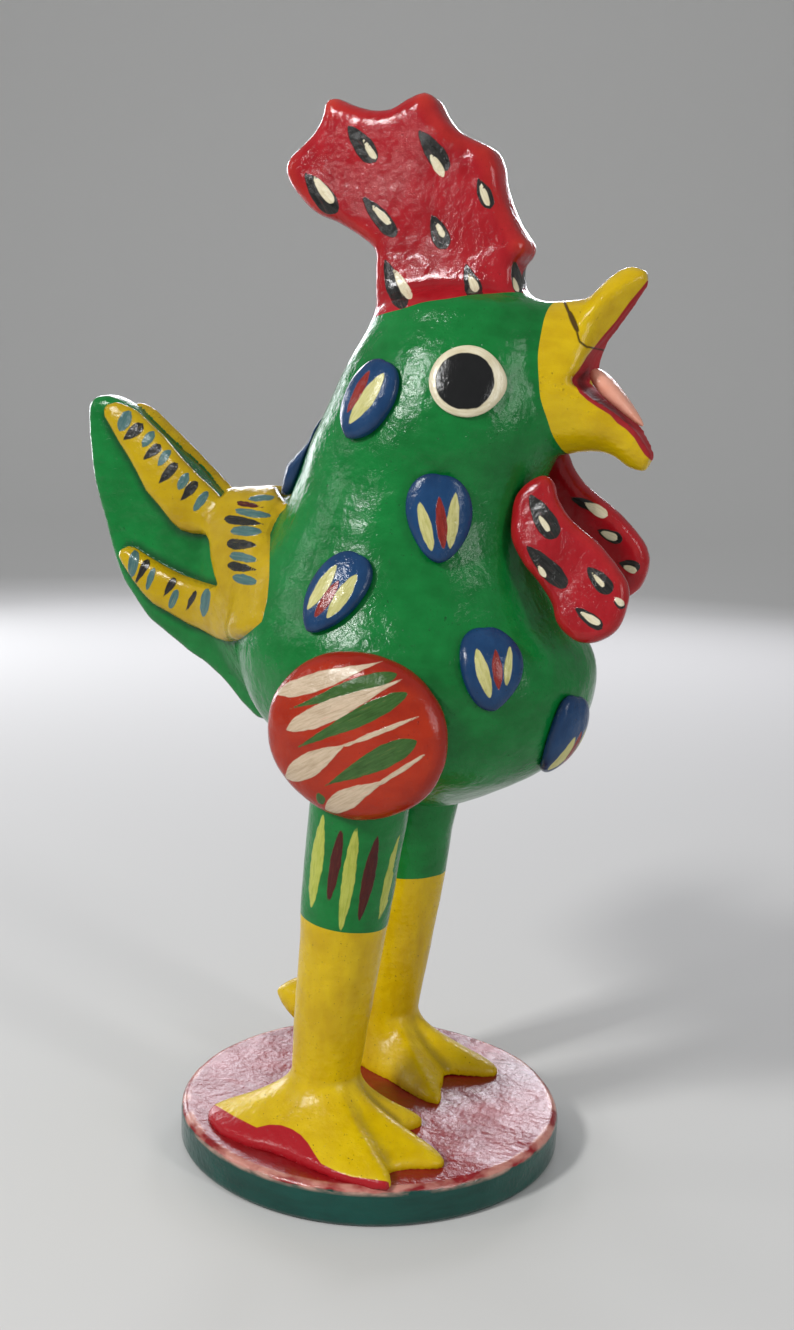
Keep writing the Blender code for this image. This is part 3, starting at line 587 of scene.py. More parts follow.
def luted(forms, grain):
    """One skin round overlapping forms, in even squares of about the grain's size."""
    points, corners, count = [], [], 0
    for form_points, form_corners in forms:
        points.append(form_points)
        corners.append(form_corners + count)
        count += len(form_points)
    mesh = bpy.data.meshes.new("luted")
    mesh.from_pydata((np.vstack(points) * MM).tolist(), [], np.vstack(corners).tolist())
    item = bpy.data.objects.new("luted", mesh)
    bpy.context.scene.collection.objects.link(item)
    remesh = item.modifiers.new("luted", "REMESH")
    remesh.mode = "VOXEL"
    remesh.voxel_size = grain * MM
    made = item.evaluated_get(bpy.context.evaluated_depsgraph_get()).to_mesh()
    made.calc_loop_triangles()
    points = np.empty(len(made.vertices) * 3)
    made.vertices.foreach_get("co", points)
    corners = np.empty(len(made.loop_triangles) * 3, int)
    made.loop_triangles.foreach_get("vertices", corners)
    bpy.data.objects.remove(item)
    bpy.data.meshes.remove(mesh)
    return points.reshape(-1, 3) / MM, corners.reshape(-1, 3)


class Smoothing:
    """Draws points towards the middle of their neighbours."""

    def __init__(self, corners, count):
        pairs = np.vstack([corners[:, (0, 1)], corners[:, (1, 2)], corners[:, (2, 0)]])
        self.a, self.b = np.unique(np.sort(pairs, 1), axis=0).T
        self.count = count
        self.shares = np.bincount(np.concatenate([self.a, self.b]), minlength=count)

    def means(self, values):
        found = []
        for column in values.T:
            total = np.bincount(self.a, column[self.b], self.count)
            found.append((total + np.bincount(self.b, column[self.a], self.count)) / self.shares)
        return np.stack(found, 1)

    def drawn(self, values, share, rounds=1):
        for _ in range(rounds):
            values = values + (self.means(values) - values) * share
        return values

    def evened(self, values, rounds):
        """Takes small ripples out and keeps the size."""
        for share in EVENING * rounds:
            values = self.drawn(values, share)
        return values


def bumps(points, size, seed):
    """Smooth noise from about -1 to 1, in bumps of this size."""
    return np.array([noise.noise(Vector(p)) for p in points / size + seed])


def dented(points, corners, depth_share=1.0):
    """The points with a hand's broad and fine dents."""
    depth = sum(bumps(points, size, seed) * deep for size, deep, seed in DENTS)
    return points + facing(points, corners) * (depth_share * depth)[:, None]


def formed(forms, grain, rounds, depth_share):
    """A separate lump of clay: luted, evened out and dented."""
    points, corners = luted(forms, grain)
    points = Smoothing(corners, len(points)).evened(points, rounds)
    return dented(points, corners, depth_share), corners


def with_ridges(points, corners):
    """Points, normals and how far each point stands out of its surroundings, in one array."""
    smoothing = Smoothing(corners, len(points))
    out = facing(points, corners)
    soft = smoothing.drawn(points, share=0.6, rounds=6)
    ridge = np.sum((points - soft) * out, 1)
    return np.hstack([points, out, smoothing.drawn(ridge[:, None], share=0.5, rounds=3)])


def inside_by(line, spots):
    """How far each spot lies inside a closed line; negative outside."""
    nearest = np.full(len(spots), 1e9)
    crossed = np.zeros(len(spots), bool)
    for a, b in zip(line, np.roll(line, -1, 0)):
        way = b - a
        share = np.clip((spots - a) @ way / (way @ way), 0, 1)
        nearest = np.minimum(nearest, np.linalg.norm(spots - a - share[:, None] * way, axis=1))
        if a[1] != b[1]:
            level = (a[1] > spots[:, 1]) != (b[1] > spots[:, 1])
            crossed ^= level & (spots[:, 0] < a[0] + way[0] * (spots[:, 1] - a[1]) / way[1])
    return np.where(crossed, nearest, -nearest)


# Cuts along the line where a field over the skin is zero

def scored(points, corners, field):
    """The same skin with its triangles cut along that line."""
    field = np.where(np.abs(field) < 1e-6, 1e-6, field)
    up = (field > 0)[corners]
    high = up.sum(1)
    mixed = (high == 1) | (high == 2)
    odd = np.where(high == 1, up.argmax(1), up.argmin(1))[mixed]
    turned = corners[mixed][np.arange(mixed.sum())[:, None], (odd[:, None] + (0, 1, 2)) % 3]
    a, b, c = turned.T
    pairs = np.sort(np.vstack([turned[:, (0, 1)], turned[:, (0, 2)]]), 1)
    pairs, place = np.unique(pairs, axis=0, return_inverse=True)
    place = place.reshape(-1) + len(points)
    p, q = place[:len(a)], place[len(a):]
    first, second = pairs.T
    share = (field[first] / (field[first] - field[second]))[:, None]
    added = points[first] + (points[second] - points[first]) * share
    corners = np.vstack([corners[~mixed], np.stack([a, p, q], 1), np.stack([p, b, c], 1),
                         np.stack([p, c, q], 1)])
    return np.vstack([points, added]), corners, np.concatenate([field, np.zeros(len(added))])


def kept(points, corners, keep):
    """Only some of the triangles, with the points that they use."""
    corners = corners[keep]
    used, numbers = np.unique(corners, return_inverse=True)
    return points[used], numbers.reshape(-1, 3)


def parted(skin, field):
    """The skin cut in two: where the field is above zero, and the rest."""
    points, corners, field = scored(*skin, field)
    above = field[corners].sum(1) > 0
    return kept(points, corners, above), kept(points, corners, ~above)


def crisp(skin, field_of, levels):
    """The skin with its triangles cut along the edge of a mark, so that the edge stays clean."""
    points, corners = skin
    for level in levels:
        points, corners, _ = scored(points, corners, field_of(points) - level)
    return points, corners


# Pieces

def piece(name, form, material, nodes, marks, normals=None):
    """A finished piece that rides on the body and stands for its CAD nodes."""
    points, corners = form
    mesh = bpy.data.meshes.new(name)
    mesh.from_pydata((points * MM).tolist(), [], corners.tolist())
    mesh.shade_smooth()
    for key, values in marks.items():
        kind, field = ("FLOAT", "value") if values.ndim == 1 else ("FLOAT_VECTOR", "vector")
        mesh.attributes.new(key, kind, "POINT").data.foreach_set(field, values.astype(np.float32).ravel())
    if normals is not None:
        mesh.normals_split_custom_set_from_vertices(normals.tolist())
    mesh.materials.append(material)
    item = bpy.data.objects.new(name, mesh)
    bpy.context.scene.collection.objects.link(item)
    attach(item, BODY)
    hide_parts(*nodes)


def lump_piece(name, form, material, nodes, marks):
    """A piece from a lump of its own."""
    piece(name, form, material, nodes, {**marks, "ridge": with_ridges(*form)[:, 6]})


def skin_piece(name, part, material, nodes, marks):
    """A piece from a part of the skin: points, normals and ridges, which stay those of the whole."""
    data, corners = part
    marks = {"ridge": data[:, 6], **marks}
    piece(name, (data[:, :3], corners), material, nodes, marks, data[:, 3:6])


def strokes(spots, marks, fullness):
    """How far inside the nearest brush mark each spot lies, and where along and across it."""
    start_full, end_full = fullness
    middle = start_full / (start_full + end_full)
    peak = middle ** start_full * (1 - middle) ** end_full
    inside = np.full(len(spots), NO_MARK)
    brush = np.zeros((len(spots), 3))
    for number, (x0, y0, x1, y1, width) in enumerate(marks):
        way = np.array((x1 - x0, y1 - y0), float)
        length = math.hypot(*way)
        away = spots - (x0, y0)
        along = away @ way / length ** 2
        across = (away[:, 0] * way[1] - away[:, 1] * way[0]) / length
        share = np.clip(along, 0, 1)
        half = width / 2 * share ** start_full * (1 - share) ** end_full / peak
        depth = half - np.hypot(across, length * (along - share))
        nearer = depth > inside
        inside[nearer] = depth[nearer]
        layer = np.full(len(spots), number * NEXT_BRUSH)
        brush[nearer] = np.stack([along * length, across, layer], 1)[nearer]
    return inside, brush


def mark_fields(spots, **groups):
    """A field for each named group of marks, and one set of brush coordinates for all of them."""
    fields, deepest = {}, np.full(len(spots), NO_MARK)
    brush = np.zeros((len(spots), 3))
    for name, (marks, fullness) in groups.items():
        fields[name], found = strokes(spots, marks, fullness)
        nearer = fields[name] > deepest
        deepest[nearer] = fields[name][nearer]
        brush[nearer] = found[nearer]
    fields["brush"] = brush
    return fields


# Materials

class Wire:
    """A value on its way through a material, which can be worked with as a number."""

    def __init__(self, shop, socket):
        self.shop = shop
        self.socket = socket

    def maths(self, operation, first, second, clamp=False):
        return self.shop.node("ShaderNodeMath", {"operation": operation, "use_clamp": clamp},
                              {0: first, 1: second})

    def __add__(self, other):
        return self.maths("ADD", self, other)

    def __sub__(self, other):
        return self.maths("SUBTRACT", self, other)

    def __mul__(self, other):
        return self.maths("MULTIPLY", self, other)

    def __truediv__(self, other):
        return self.maths("DIVIDE", self, other)

    def __rsub__(self, other):
        return self.maths("SUBTRACT", other, self)

    __radd__ = __add__
    __rmul__ = __mul__

    def above(self, level, soft):
        """0 below the level and 1 above it, over a soft step."""
        return self.maths("ADD", (self - level) / soft, 0.5, clamp=True)


class Finish:
    """The nodes of one painted finish."""

    def __init__(self, name):
        self.material = bpy.data.materials.new(name)
        self.material.use_nodes = True
        self.tree = self.material.node_tree
        self.tree.nodes.clear()
        self.height = 0.0
        self.place = self.node("ShaderNodeTexCoord", out="Object")

    def node(self, kind, settings=None, sockets=None, out=0):
        made = self.tree.nodes.new(kind)
        for key, value in (settings or {}).items():
            setattr(made, key, value)
        for key, value in (sockets or {}).items():
            self.feed(made.inputs[key], value)
        return Wire(self, made.outputs[out])

    def feed(self, socket, value):
        if isinstance(value, Wire):
            self.tree.links.new(value.socket, socket)
        elif isinstance(value, tuple) and len(value) == 3 and socket.type == "RGBA":
            socket.default_value = (*value, 1.0)
        else:
            socket.default_value = value

    def noise(self, size, stretch=(1.0, 1.0, 1.0), detail=3.0, roughness=0.55, at=None):
        """Noise from 0 to 1 in blots of a size in millimetres, longer where stretch is above 1."""
        scale = tuple(1.0 / (size * s * (MM if at is None else 1.0)) for s in stretch)
        where = self.node("ShaderNodeVectorMath", {"operation": "MULTIPLY"}, {0: at or self.place, 1: scale})
        return self.node("ShaderNodeTexNoise", None, {
            "Vector": where, "Scale": 1.0, "Detail": detail, "Roughness": roughness})

    def mix(self, share, first, second):
        return self.node("ShaderNodeMix", {"data_type": "RGBA"}, {0: share, 6: first, 7: second}, out=2)

    def mark(self, name, out="Fac"):
        return self.node("ShaderNodeAttribute", {"attribute_name": name}, out=out)

    def base_coat(self, deep, middle, pale, brush=(1.0, 1.0, 1.0)):
        """Brushed colour: a slow drift between tones, with streaks along the brush."""
        drift = self.noise(14.0).above(0.5, 0.45)
        streaks = self.noise(2.4, brush, roughness=0.5)
        colour = self.mix(drift, deep, middle)
        colour = self.mix(streaks.above(0.64, 0.6) * 0.5, colour, pale)
        self.height = self.height + (streaks - 0.5) * 0.06
        return colour

    def dirt_specks_and_crease_shade(self, colour, dirt_and_shade, amount):
        """Painted shade darkening the creases, and small pits and specks that dirt has filled."""
        # The crease mask darkens hollows where shade falls: painted shade, not dirt
        crease_shade = (0.0 - self.mark("ridge")).above(0.10, 0.16)
        patches = self.noise(7.0).above(0.55, 0.25)
        speck = self.noise(0.55, detail=2.0).above(0.70, 0.05) * patches
        self.height = self.height - speck * 0.08
        return self.mix((crease_shade * 0.75 + speck * 0.8) * amount, colour, dirt_and_shade)

    def painted(self, colour, name, deep, pale, cover):
        """Brush marks in a second colour, with a wavering edge and dry streaks along them."""
        waver = (self.noise(2.6, detail=1.5) - 0.5) * 3.0
        dry = self.noise(3.2, (5.0, 0.6, 1.0), roughness=0.6, at=self.mark("brush", "Vector"))
        inside = (self.mark(name) + waver).above(0.0, 0.9)
        ink = self.mix(dry.above(0.5, 0.45), deep, pale)
        self.height = self.height + inside * 0.05
        thin = 1.0 - dry.above(0.66, 0.12) * (1.0 - cover)
        return self.mix(inside * thin, colour, ink)

    def inked(self, colour, *inks):
        """The colour with several kinds of brush marks: the mark's name, its tones and its cover."""
        for name, tones, cover in inks:
            colour = self.painted(colour, name, *tones, cover)
        return colour

    def done(self, colour, roughness=0.11, ripple=0.24, gloss=0.30, fine_relief=0.11):
        """The shader, with gloss that varies and the surface's fine relief."""
        smears = self.noise(5.0).above(0.58, 0.4)
        fine = self.noise(1.0, detail=4.0, roughness=0.65)
        ripples = self.noise(2.8, detail=1.5)
        height = self.height + (fine - 0.5) * fine_relief + (ripples - 0.5) * ripple
        bump = self.node("ShaderNodeBump", None, {"Strength": 1.0, "Distance": MM, "Height": height})
        return self.shaded({"Base Color": colour, "Roughness": smears * 0.12 + roughness, "Normal": bump,
                            "IOR": 1.5, "Specular IOR Level": gloss})

    def shaded(self, sockets):
        end = self.tree.nodes.new("ShaderNodeOutputMaterial")
        self.feed(end.inputs["Surface"], self.node("ShaderNodeBsdfPrincipled", None, sockets))
        return self.material


def enamel(name, tones, brush, dirt_and_shade, dirt_and_shade_share=1.0):
    """A finish with its base coat on, and that coat's colour with dirt specks and painted shade in the
    creases.
    """
    shop = Finish(name)
    return shop, shop.dirt_specks_and_crease_shade(shop.base_coat(*tones, brush), dirt_and_shade, dirt_and_shade_share)


def green_finish():
    shop, colour = enamel("green_enamel", GREEN, (1.7, 1.7, 1.0), DIRT_AND_SHADE_GREEN)
    return shop.done(shop.inked(colour, ("cream_stroke", PALE_YELLOW, 0.7), ("red_stroke", DARK_RED, 0.9)))


def comb_finish(name):
    shop, colour = enamel(name, CRIMSON, (1.0, 1.0, 2.5), DIRT_AND_SHADE_RED)
    # Ridges lighter: paint worn thin there, and a painted highlight
    colour = shop.mix(shop.mark("ridge").above(0.16, 0.2) * 0.5, colour, COMB_WORN_EDGE_AND_HIGHLIGHT_RED)
    colour = shop.inked(colour, ("dark_seed", BLACK_INK, 0.8), ("pale_drop", CREAM, 0.75))
    return shop.done(colour, roughness=0.06, ripple=0.21, fine_relief=0.08)


def beak_finish():
    shop, colour = enamel("beak_enamel", YELLOW, (2.5, 1.0, 1.0), DIRT_AND_SHADE_YELLOW, 0.8)
    lining = shop.mark("mouth_lining").above(0.0, 0.8)
    colour = shop.mix(lining, colour, shop.base_coat(*CRIMSON))
    crack = shop.mark("crack").above(0.0, 1.2)
    colour = shop.mix(crack * 0.94, colour, CRACK_BROWN)
    shop.height = shop.height - crack * 0.25
    return shop.done(colour, roughness=lining * 0.50 + 0.12)


def leg_finish():
    shop, colour = enamel("leg_enamel", YELLOW, (1.0, 1.0, 3.5), DIRT_AND_SHADE_YELLOW)
    pits = shop.noise(0.42, detail=1.0).above(0.755, 0.03)
    colour = shop.mix(pits * 0.9, colour, BLACK[1])
    colour = shop.mix(shop.mark("red_hem").above(0.0, 0.8), colour, CRIMSON[1])
    return shop.done(colour, roughness=0.20)


def band_finish():
    # The band's paint is the beak's yellow darkened, as painted shade
    shop, colour = enamel("band_enamel", YELLOW_IN_PAINTED_SHADE, (2.0, 1.0, 1.0), DIRT_AND_SHADE_YELLOW, 0.8)
    return shop.done(shop.inked(colour, ("blue_dab", GREY_BLUE, 0.75), ("black_dab", BLACK_INK, 0.85),
                                ("brown_dab", DARK_RED, 0.8)))


def feather_finish():
    shop, colour = enamel("feather_enamel", BLUE, (1.0, 1.0, 2.5), DIRT_AND_SHADE_BLUE, 0.8)
    return shop.done(shop.inked(colour, ("yellow_stroke", STRAW, 0.75), ("red_stroke", RED_INK, 0.85)))


def wing_finish():
    shop, colour = enamel("wing_enamel", ORANGE, (3.0, 1.0, 1.6), DIRT_AND_SHADE_RED)
    colour = shop.mix(shop.mark("rim").above(0.0, 1.6) * 0.75, colour, WING_EDGE_RED)
    return shop.done(shop.inked(colour, ("green_stroke", GREEN_INK, 0.8), ("cream_stroke", PINK_CREAM, 0.7),
                                ("cream_tail", PINK_CREAM, 0.7)))


def eye_finish():
    shop = Finish("eye_enamel")
    colour = shop.inked(shop.base_coat(*BLACK), ("ring", CREAM, 0.95))
    return shop.done(colour, roughness=0.10, ripple=0.10, gloss=0.45)


def tongue_finish():
    shop = Finish("tongue_enamel")
    return shop.done(shop.base_coat(*SALMON, (2.5, 1.0, 1.0)))


def plinth_finish():
    shop = Finish("plinth_enamel")
    top = shop.base_coat(*BRICK, (3.5, 1.0, 1.0))
    side = shop.base_coat(*TEAL, (3.0, 3.0, 0.7))
    height = shop.node("ShaderNodeSeparateXYZ", None, {0: shop.place}, out="Z")
    down, stray, soft = PLINTH_LINE
    waver = (shop.noise(6.0) - 0.5) * stray * MM
    above = (height + waver).above((PLINTH_TOP - down) * MM, soft * MM)
    rim = shop.mark("edge").above(0.0, 0.5) * shop.noise(2.2, (3.0, 3.0, 1.0)).above(0.5, 0.2)
    colour = shop.mix(above, side, top)
    colour = shop.mix(rim * 0.55, colour, PLINTH_EDGE_PINK)
    return shop.done(colour, roughness=0.06, ripple=0.14, gloss=0.42)


# The bird's own skin

def bird_form():
    turn = once_round(BIRD_SIDES)
    return lofted([level_ring((x, 0.0), half_length, half_width, BELLY + height, turn)
                   for height, x, half_length, half_width in smooth_line(BIRD_SECTIONS, SPANS)])


def above_belly(outline):
    """A closed smooth outline in X and Z."""
    return smooth_line(outline, SPANS, closed=True) + (0.0, BELLY)


def comb_form():
    low = BELLY + BIRD_SECTIONS[-1][0]
    high = BELLY + max(height for _, height in COMB_OUTLINE)

    def half_at(z):
        share = 1.0 - np.clip((z - low) / (high - low), 0, 1)
        return COMB_TOP_HALF + (COMB_ROOT_HALF - COMB_TOP_HALF) * share ** COMB_SPREAD

    return slab(above_belly(COMB_OUTLINE), half_at, COMB_EDGE)


def tail_form():
    return slab(above_belly(TAIL_OUTLINE), lambda z: np.full(len(z), TAIL_HALF), TAIL_EDGE)


def tail_root_form():
    rings = []
    turn = once_round(TAIL_ROOT_SIDES)
    for x, height, half_height, half_width in smooth_line(TAIL_ROOT_SECTIONS, SPANS):
        rings.append(np.stack([np.full(len(turn), x), half_width * np.cos(turn),
                               BELLY + height + half_height * np.sin(turn)], 1))
    return lofted(rings)


def beak_form(sections, pinch):
    """One half of the beak: an arch outside and a hollow inside, pinched ahead of the mouth's corner."""
    arch = np.linspace(0, math.pi, 25)
    floor = np.linspace(0, 1, 14)[1:-1]
    rings = []
    for edge_x, edge_z, out_x, out_z, half, hollow in smooth_line(sections, SPANS):
        rise = np.array((out_x - edge_x, 0.0, out_z - edge_z))
        middle = np.array((edge_x, 0.0, BELLY + edge_z))
        narrow = 1.0 - (1.0 - pinch) * np.clip((edge_x - MOUTH_CORNER) / MOUTH_CHEEK, 0, 1) ** 2
        wide = half * (1 + BEAK_BULGE * (1 - narrow))
        ring = []
        for a in arch:
            fullness = narrow + (1 - narrow) * min(1, BEAK_SHOULDER * math.sin(a))
            ring.append(middle + rise * math.sin(a) + (0, wide * math.cos(a) * fullness, 0))
        sink = rise / np.linalg.norm(rise) * hollow
        for s in floor:
            ring.append(middle + (0, wide * narrow * (2 * s - 1), 0) + sink * math.sin(math.pi * s))
        rings.append(ring)
    return lofted(rings)


def foot_reach(turn, outline):
    """Distance from the ankle to the edge of the foot in each direction."""
    start, reach = outline[0]
    line = smooth_line(outline + ((start + 360.0, reach),), spans=6)
    return np.interp((np.degrees(turn) - start) % 360.0 + start, line[:, 0], line[:, 1])


def leg_form(ankle, hip, outline):
    """A fan of toes drawn up to a round ankle, and the leg from there to the hip."""
    turn = once_round(LEG_SIDES)
    reach = foot_reach(turn, outline)
    floor = PLINTH_TOP - FOOT_SINK
    knee = PLINTH_TOP + FOOT_HEIGHT
    top = BELLY + HIP_HEIGHT
    rows = [(floor + rise * (knee - floor), share) for rise, share in smooth_line(FOOT_RISE, spans=3)]
    rows += [(z, 0.0) for z in np.linspace(knee, top, 30)[1:]]
    rings = []
    for z, share in rows:
        up = (z - PLINTH_TOP) / (top - PLINTH_TOP)
        thigh = min(1.0, max(0.0, (z - knee) / (top - knee) / HIP_SHARE))
        radius = ANKLE_RADIUS + (THIGH_RADIUS - ANKLE_RADIUS) * thigh
        out = radius + (reach - radius) * share
        middle = [low + (high - low) * up for low, high in zip(ankle, hip)]
        rings.append(level_ring(middle, out, out, z, turn))
    return lofted(rings)


def spur_form():
    """The short thick hind claw of the far leg, pointing back and up."""
    root, tip = Vector(SPUR_ROOT), Vector(SPUR_TIP)
    turn = (tip - root).to_track_quat("Z", "Y").to_matrix()
    rings = []
    for share in np.linspace(0, 1, 12):
        radius = SPUR_RADIUS * (1 - share ** 2.0) ** SPUR_FULLNESS + SPUR_TIP_RADIUS
        centre = root + (tip - root) * float(share)
        rings.append([tuple(centre + turn @ Vector((radius * math.cos(a), radius * math.sin(a), 0)))
                      for a in once_round(24)])
    return lofted(rings)


def blended_skin():
    """The whole bird luted together, with clay smoothed into each joint."""
    beak = [beak_form(sections, pinch)
            for sections, pinch in zip((UPPER_BEAK_SECTIONS, LOWER_BEAK_SECTIONS), MOUTH_PINCH)]
    left = leg_form(LEFT_ANKLE, LEFT_HIP, LEFT_FOOT)
    right = leg_form(RIGHT_ANKLE, RIGHT_HIP, RIGHT_FOOT)
    groups = ([bird_form()], [comb_form()], [tail_form()], [tail_root_form()], beak, [left], [right],
              [spur_form()])
    points, corners = luted([form for group in groups for form in group], SKIN_GRAIN)
    smoothing = Smoothing(corners, len(points))
    points = smoothing.evened(points, rounds=5)
    trees = [[tree_of(form) for form in group] for group in groups]
    apart = []
    for point in points.tolist():
        near = sorted(min(tree.find_nearest(point)[3] for tree in group) for group in trees)
        apart.append(near[1])
    softness = JOINT_SHARE * np.clip(1.0 - np.array(apart) / JOINT_REACH, 0, 1)[:, None]
    softness = smoothing.drawn(softness, share=0.5, rounds=4)
    points = smoothing.drawn(points, softness, JOINT_ROUNDS)
    return dented(points, corners), corners


def band_depth(points, corners):
    """How far inside the yellow band's outline each point of the skin lies, in millimetres."""
    depth = np.full(len(points), BAND_OUTSIDE)
    back = points[:, 0] < BAND_BACK
    raised = (points + facing(points, corners) * BAND_RISE * BAND_SEEN_RISE)[back]
    depth[back] = inside_by(np.array(BAND_OUTLINE), near_pixels(raised)) * PIXELS_TO_MM
    fade = np.clip(points[:, 0] - BAND_GROOVE_BEHIND, 0, BAND_GROOVE_FADE)
    return np.minimum(depth, np.abs(points[:, 1]) - BAND_GROOVE + fade)


def with_band(points, corners):
    """The skin with the band raised round the tail's root, and the band's depth at each point."""
    depth = band_depth(points, corners)
    for level in BAND_SCORES:
        points, corners, _ = scored(points, corners, depth - level)
        depth = band_depth(points, corners)
    depth = np.where(np.abs(depth) < 1e-3, 0.0, depth)
    out = facing(points, corners)
    rise = np.sqrt(np.clip(1 - (1 - np.clip(depth / BAND_EDGE, 0, 1)) ** 2, 0, 1)) * BAND_RISE
    rise *= np.clip((BAND_FRONT - points[:, 0]) / BAND_FADE, BAND_LEAST_RISE, 1)
    inner = 0.5 * np.clip(depth / BAND_EDGE - BAND_INSIDE, 0, 1)[:, None]
    points = Smoothing(corners, len(points)).drawn(points + out * rise[:, None], inner, BAND_ROUNDS)
    return points, corners, depth


def hand_waver(data):
    """How far a hand-painted line strays, in millimetres."""
    size, depth, seed = WAVER
    return depth * bumps(data[:, :3], size, seed)


def comb_field(data):
    x, z = data[:, 0], data[:, 2]
    return np.minimum(z - COMB_LINE[0] - COMB_LINE[1] * x + hand_waver(data), COMB_FRONT - x)


def beak_field(data):
    x, z = data[:, 0], data[:, 2]
    line = x - BEAK_LINE[0] - BEAK_LINE[1] * (z - BEAK_LINE[2]) ** 2
    return np.minimum(line + hand_waver(data), z - BEAK_LOWEST)


def stocking_field(data, side, line):
    x, y, z = data[:, 0], data[:, 1], data[:, 2]
    return np.minimum(line[0] - line[1] * x - z + hand_waver(data), side * y)


def mouth_field(data):
    lining = inside_by(np.array(MOUTH_LINING), near_pixels(data))
    lining += FAR_LINING * np.clip(data[:, 1] / FAR_LINING_FROM, 0, 1)
    away = (data[:, :3] - (MOUTH_BACK[0], 0.0, BELLY + MOUTH_BACK[1])) / MOUTH_BACK_HALVES
    return np.maximum(lining, MOUTH_BACK_PIXELS * (1.0 - np.linalg.norm(away, axis=1)))


def crack_fields(data):
    """How far inside the crack each point lies, and how far across it from its middle."""
    inside, brush = strokes(near_pixels(data), BEAK_CRACK, HAIRLINE)
    return inside, brush[:, 1]


def hem_field(data):
    return inside_by(np.array(RED_HEM), in_photo(data[:, :3]))


def make_skin():
    bare = blended_skin()
    points, corners, depth = with_band(*bare)
    data = np.hstack([with_ridges(points, corners), depth[:, None]])
    band, rest = parted((data, corners), depth)
    marks = mark_fields(near_pixels(band[0]), blue_dab=(BAND_BLUE + BAND_GREY, ROUND_DAB),
                        black_dab=(BAND_BLACK, DAB), brown_dab=(BAND_BROWN, DAB))
    skin_piece("tail_band", band, band_finish(),
               ("tail_collar", "right_tail_upper_strip", "left_tail_upper_strip",
                "right_tail_lower_strip", "left_tail_lower_strip"), marks)

    comb, rest = parted(rest, comb_field(rest[0]))
    marks = mark_fields(near_pixels(comb[0]), dark_seed=(COMB_SEEDS, TEARDROP),
                        pale_drop=(COMB_DROPS, TEARDROP))
    skin_piece("comb_skin", comb, comb_finish("comb_enamel"), ("comb",), marks)

    beak, rest = parted(rest, beak_field(rest[0]))
    beak = crisp(beak, mouth_field, MOUTH_SCORES)
    beak = crisp(beak, lambda data: crack_fields(data)[1], (0.0,))
    beak = crisp(beak, lambda data: crack_fields(data)[0], CRACK_SCORES)
    marks = {"mouth_lining": mouth_field(beak[0]), "crack": crack_fields(beak[0])[0]}
    skin_piece("beak_skin", beak, beak_finish(), ("upper_beak", "lower_beak"), marks)

    for (side, name), line in zip(SIDES, (RIGHT_STOCKING, LEFT_STOCKING)):
        leg, rest = parted(rest, stocking_field(rest[0], side, line))
        if side < 0:
            leg = crisp(leg, hem_field, HEM_SCORES)
        hem = hem_field(leg[0]) if side < 0 else np.full(len(leg[0]), UNMARKED)
        skin_piece(name + "_leg_skin", leg, leg_finish(), (name + "_leg", name + "_foot"),
                   {"red_hem": hem})

    tail, body = parted(rest, TAIL_SEAM - rest[0][:, 0])
    for name, part, slot, nodes in (
            ("tail_skin", tail, "tail", ("tail",)),
            ("body_skin", body, "body", ("body_bowl", "neck_and_head"))):
        marks = mark_fields(near_pixels(part[0]), cream_stroke=(THIGH_CREAM, LEAF),
                            red_stroke=(THIGH_RED, LEAF))
        outer = part[0][:, 4] * np.sign(part[0][:, 1]) > THIGH_OUTWARD
        for stroke in ("cream_stroke", "red_stroke"):
            marks[stroke] = np.where(outer, marks[stroke], UNMARKED)
        skin_piece(name, part, green_finish(), nodes, marks)
    return tree_of(bare)


# Pads pressed on to the skin

def side_spot(tree, side, spot):
    """The point and normal on the bird's side (-1 right, 1 left) at this X and height."""
    start = Vector((spot[0], side * OUT_OF_REACH, BELLY + spot[1]))
    return tree.ray_cast(start, Vector((0, -side, 0)))[:2]


def round_spot(tree, spot):
    """The point and normal at this angle round the bird, at a height."""
    way = Vector((math.cos(math.radians(spot[0])), math.sin(math.radians(spot[0])), 0))
    start = Vector((BIRD_SECTIONS[0][1], 0, BELLY + spot[1])) + way * OUT_OF_REACH
    return tree.ray_cast(start, -way)[:2]


def spot_frame(point, out, lean):
    """Axes on the skin: Y into it, Z up along it, leaned by some degrees."""
    out = out.normalized()
    right = Vector((0, 0, 1)).cross(out).normalized()
    up = out.cross(right)
    axes = Matrix((right, -out, up)).transposed().to_4x4()
    return Matrix.Translation(point) @ axes @ Matrix.Rotation(math.radians(-lean), 4, "Y")


def pressed_form(tree, place, halves, shape, swell=None, rings=36, sides=72):
    """An oval pad that bends with the skin: domed face, round rim, back sunk in.

    With it comes the place of each of its points on its face, from -1 to 1 both ways.
    """
    out = -(place.to_3x3() @ Vector((0, 1, 0))).normalized()
    back = place.inverted()
    rim = halves[2] * PAD_RIM_SHARE
    rows, flats = [], []
    for lift in np.linspace(math.pi / 2, -math.pi / 2, rings + 1)[1:-1]:
        reach, face = math.cos(lift), abs(math.sin(lift)) ** PAD_DOME
        row = []
        for turn in once_round(sides):
            grow = reach * shape(turn)
            flat = Vector((grow * halves[0] * math.cos(turn), 0, grow * halves[1] * math.sin(turn)))
            hit = tree.ray_cast(place @ flat + out * PAD_SEARCH, -out)[0]
            depth = max((back @ hit).y, -PAD_NEAREST) if hit else 0.0
            rise = rim + ((halves[2] - rim) * face if lift > 0 else -(rim + PAD_SINK) * face)
            if swell:
                rise *= swell(flat.z / halves[1])
            row.append(tuple(place @ (flat + Vector((0, depth - rise, 0)))))
            flats.append((flat.x / halves[0], flat.z / halves[1]))
        rows.append(row)
    flats += [(0.0, 0.0), (0.0, 0.0)]
    return lofted(rows), np.array(flats)


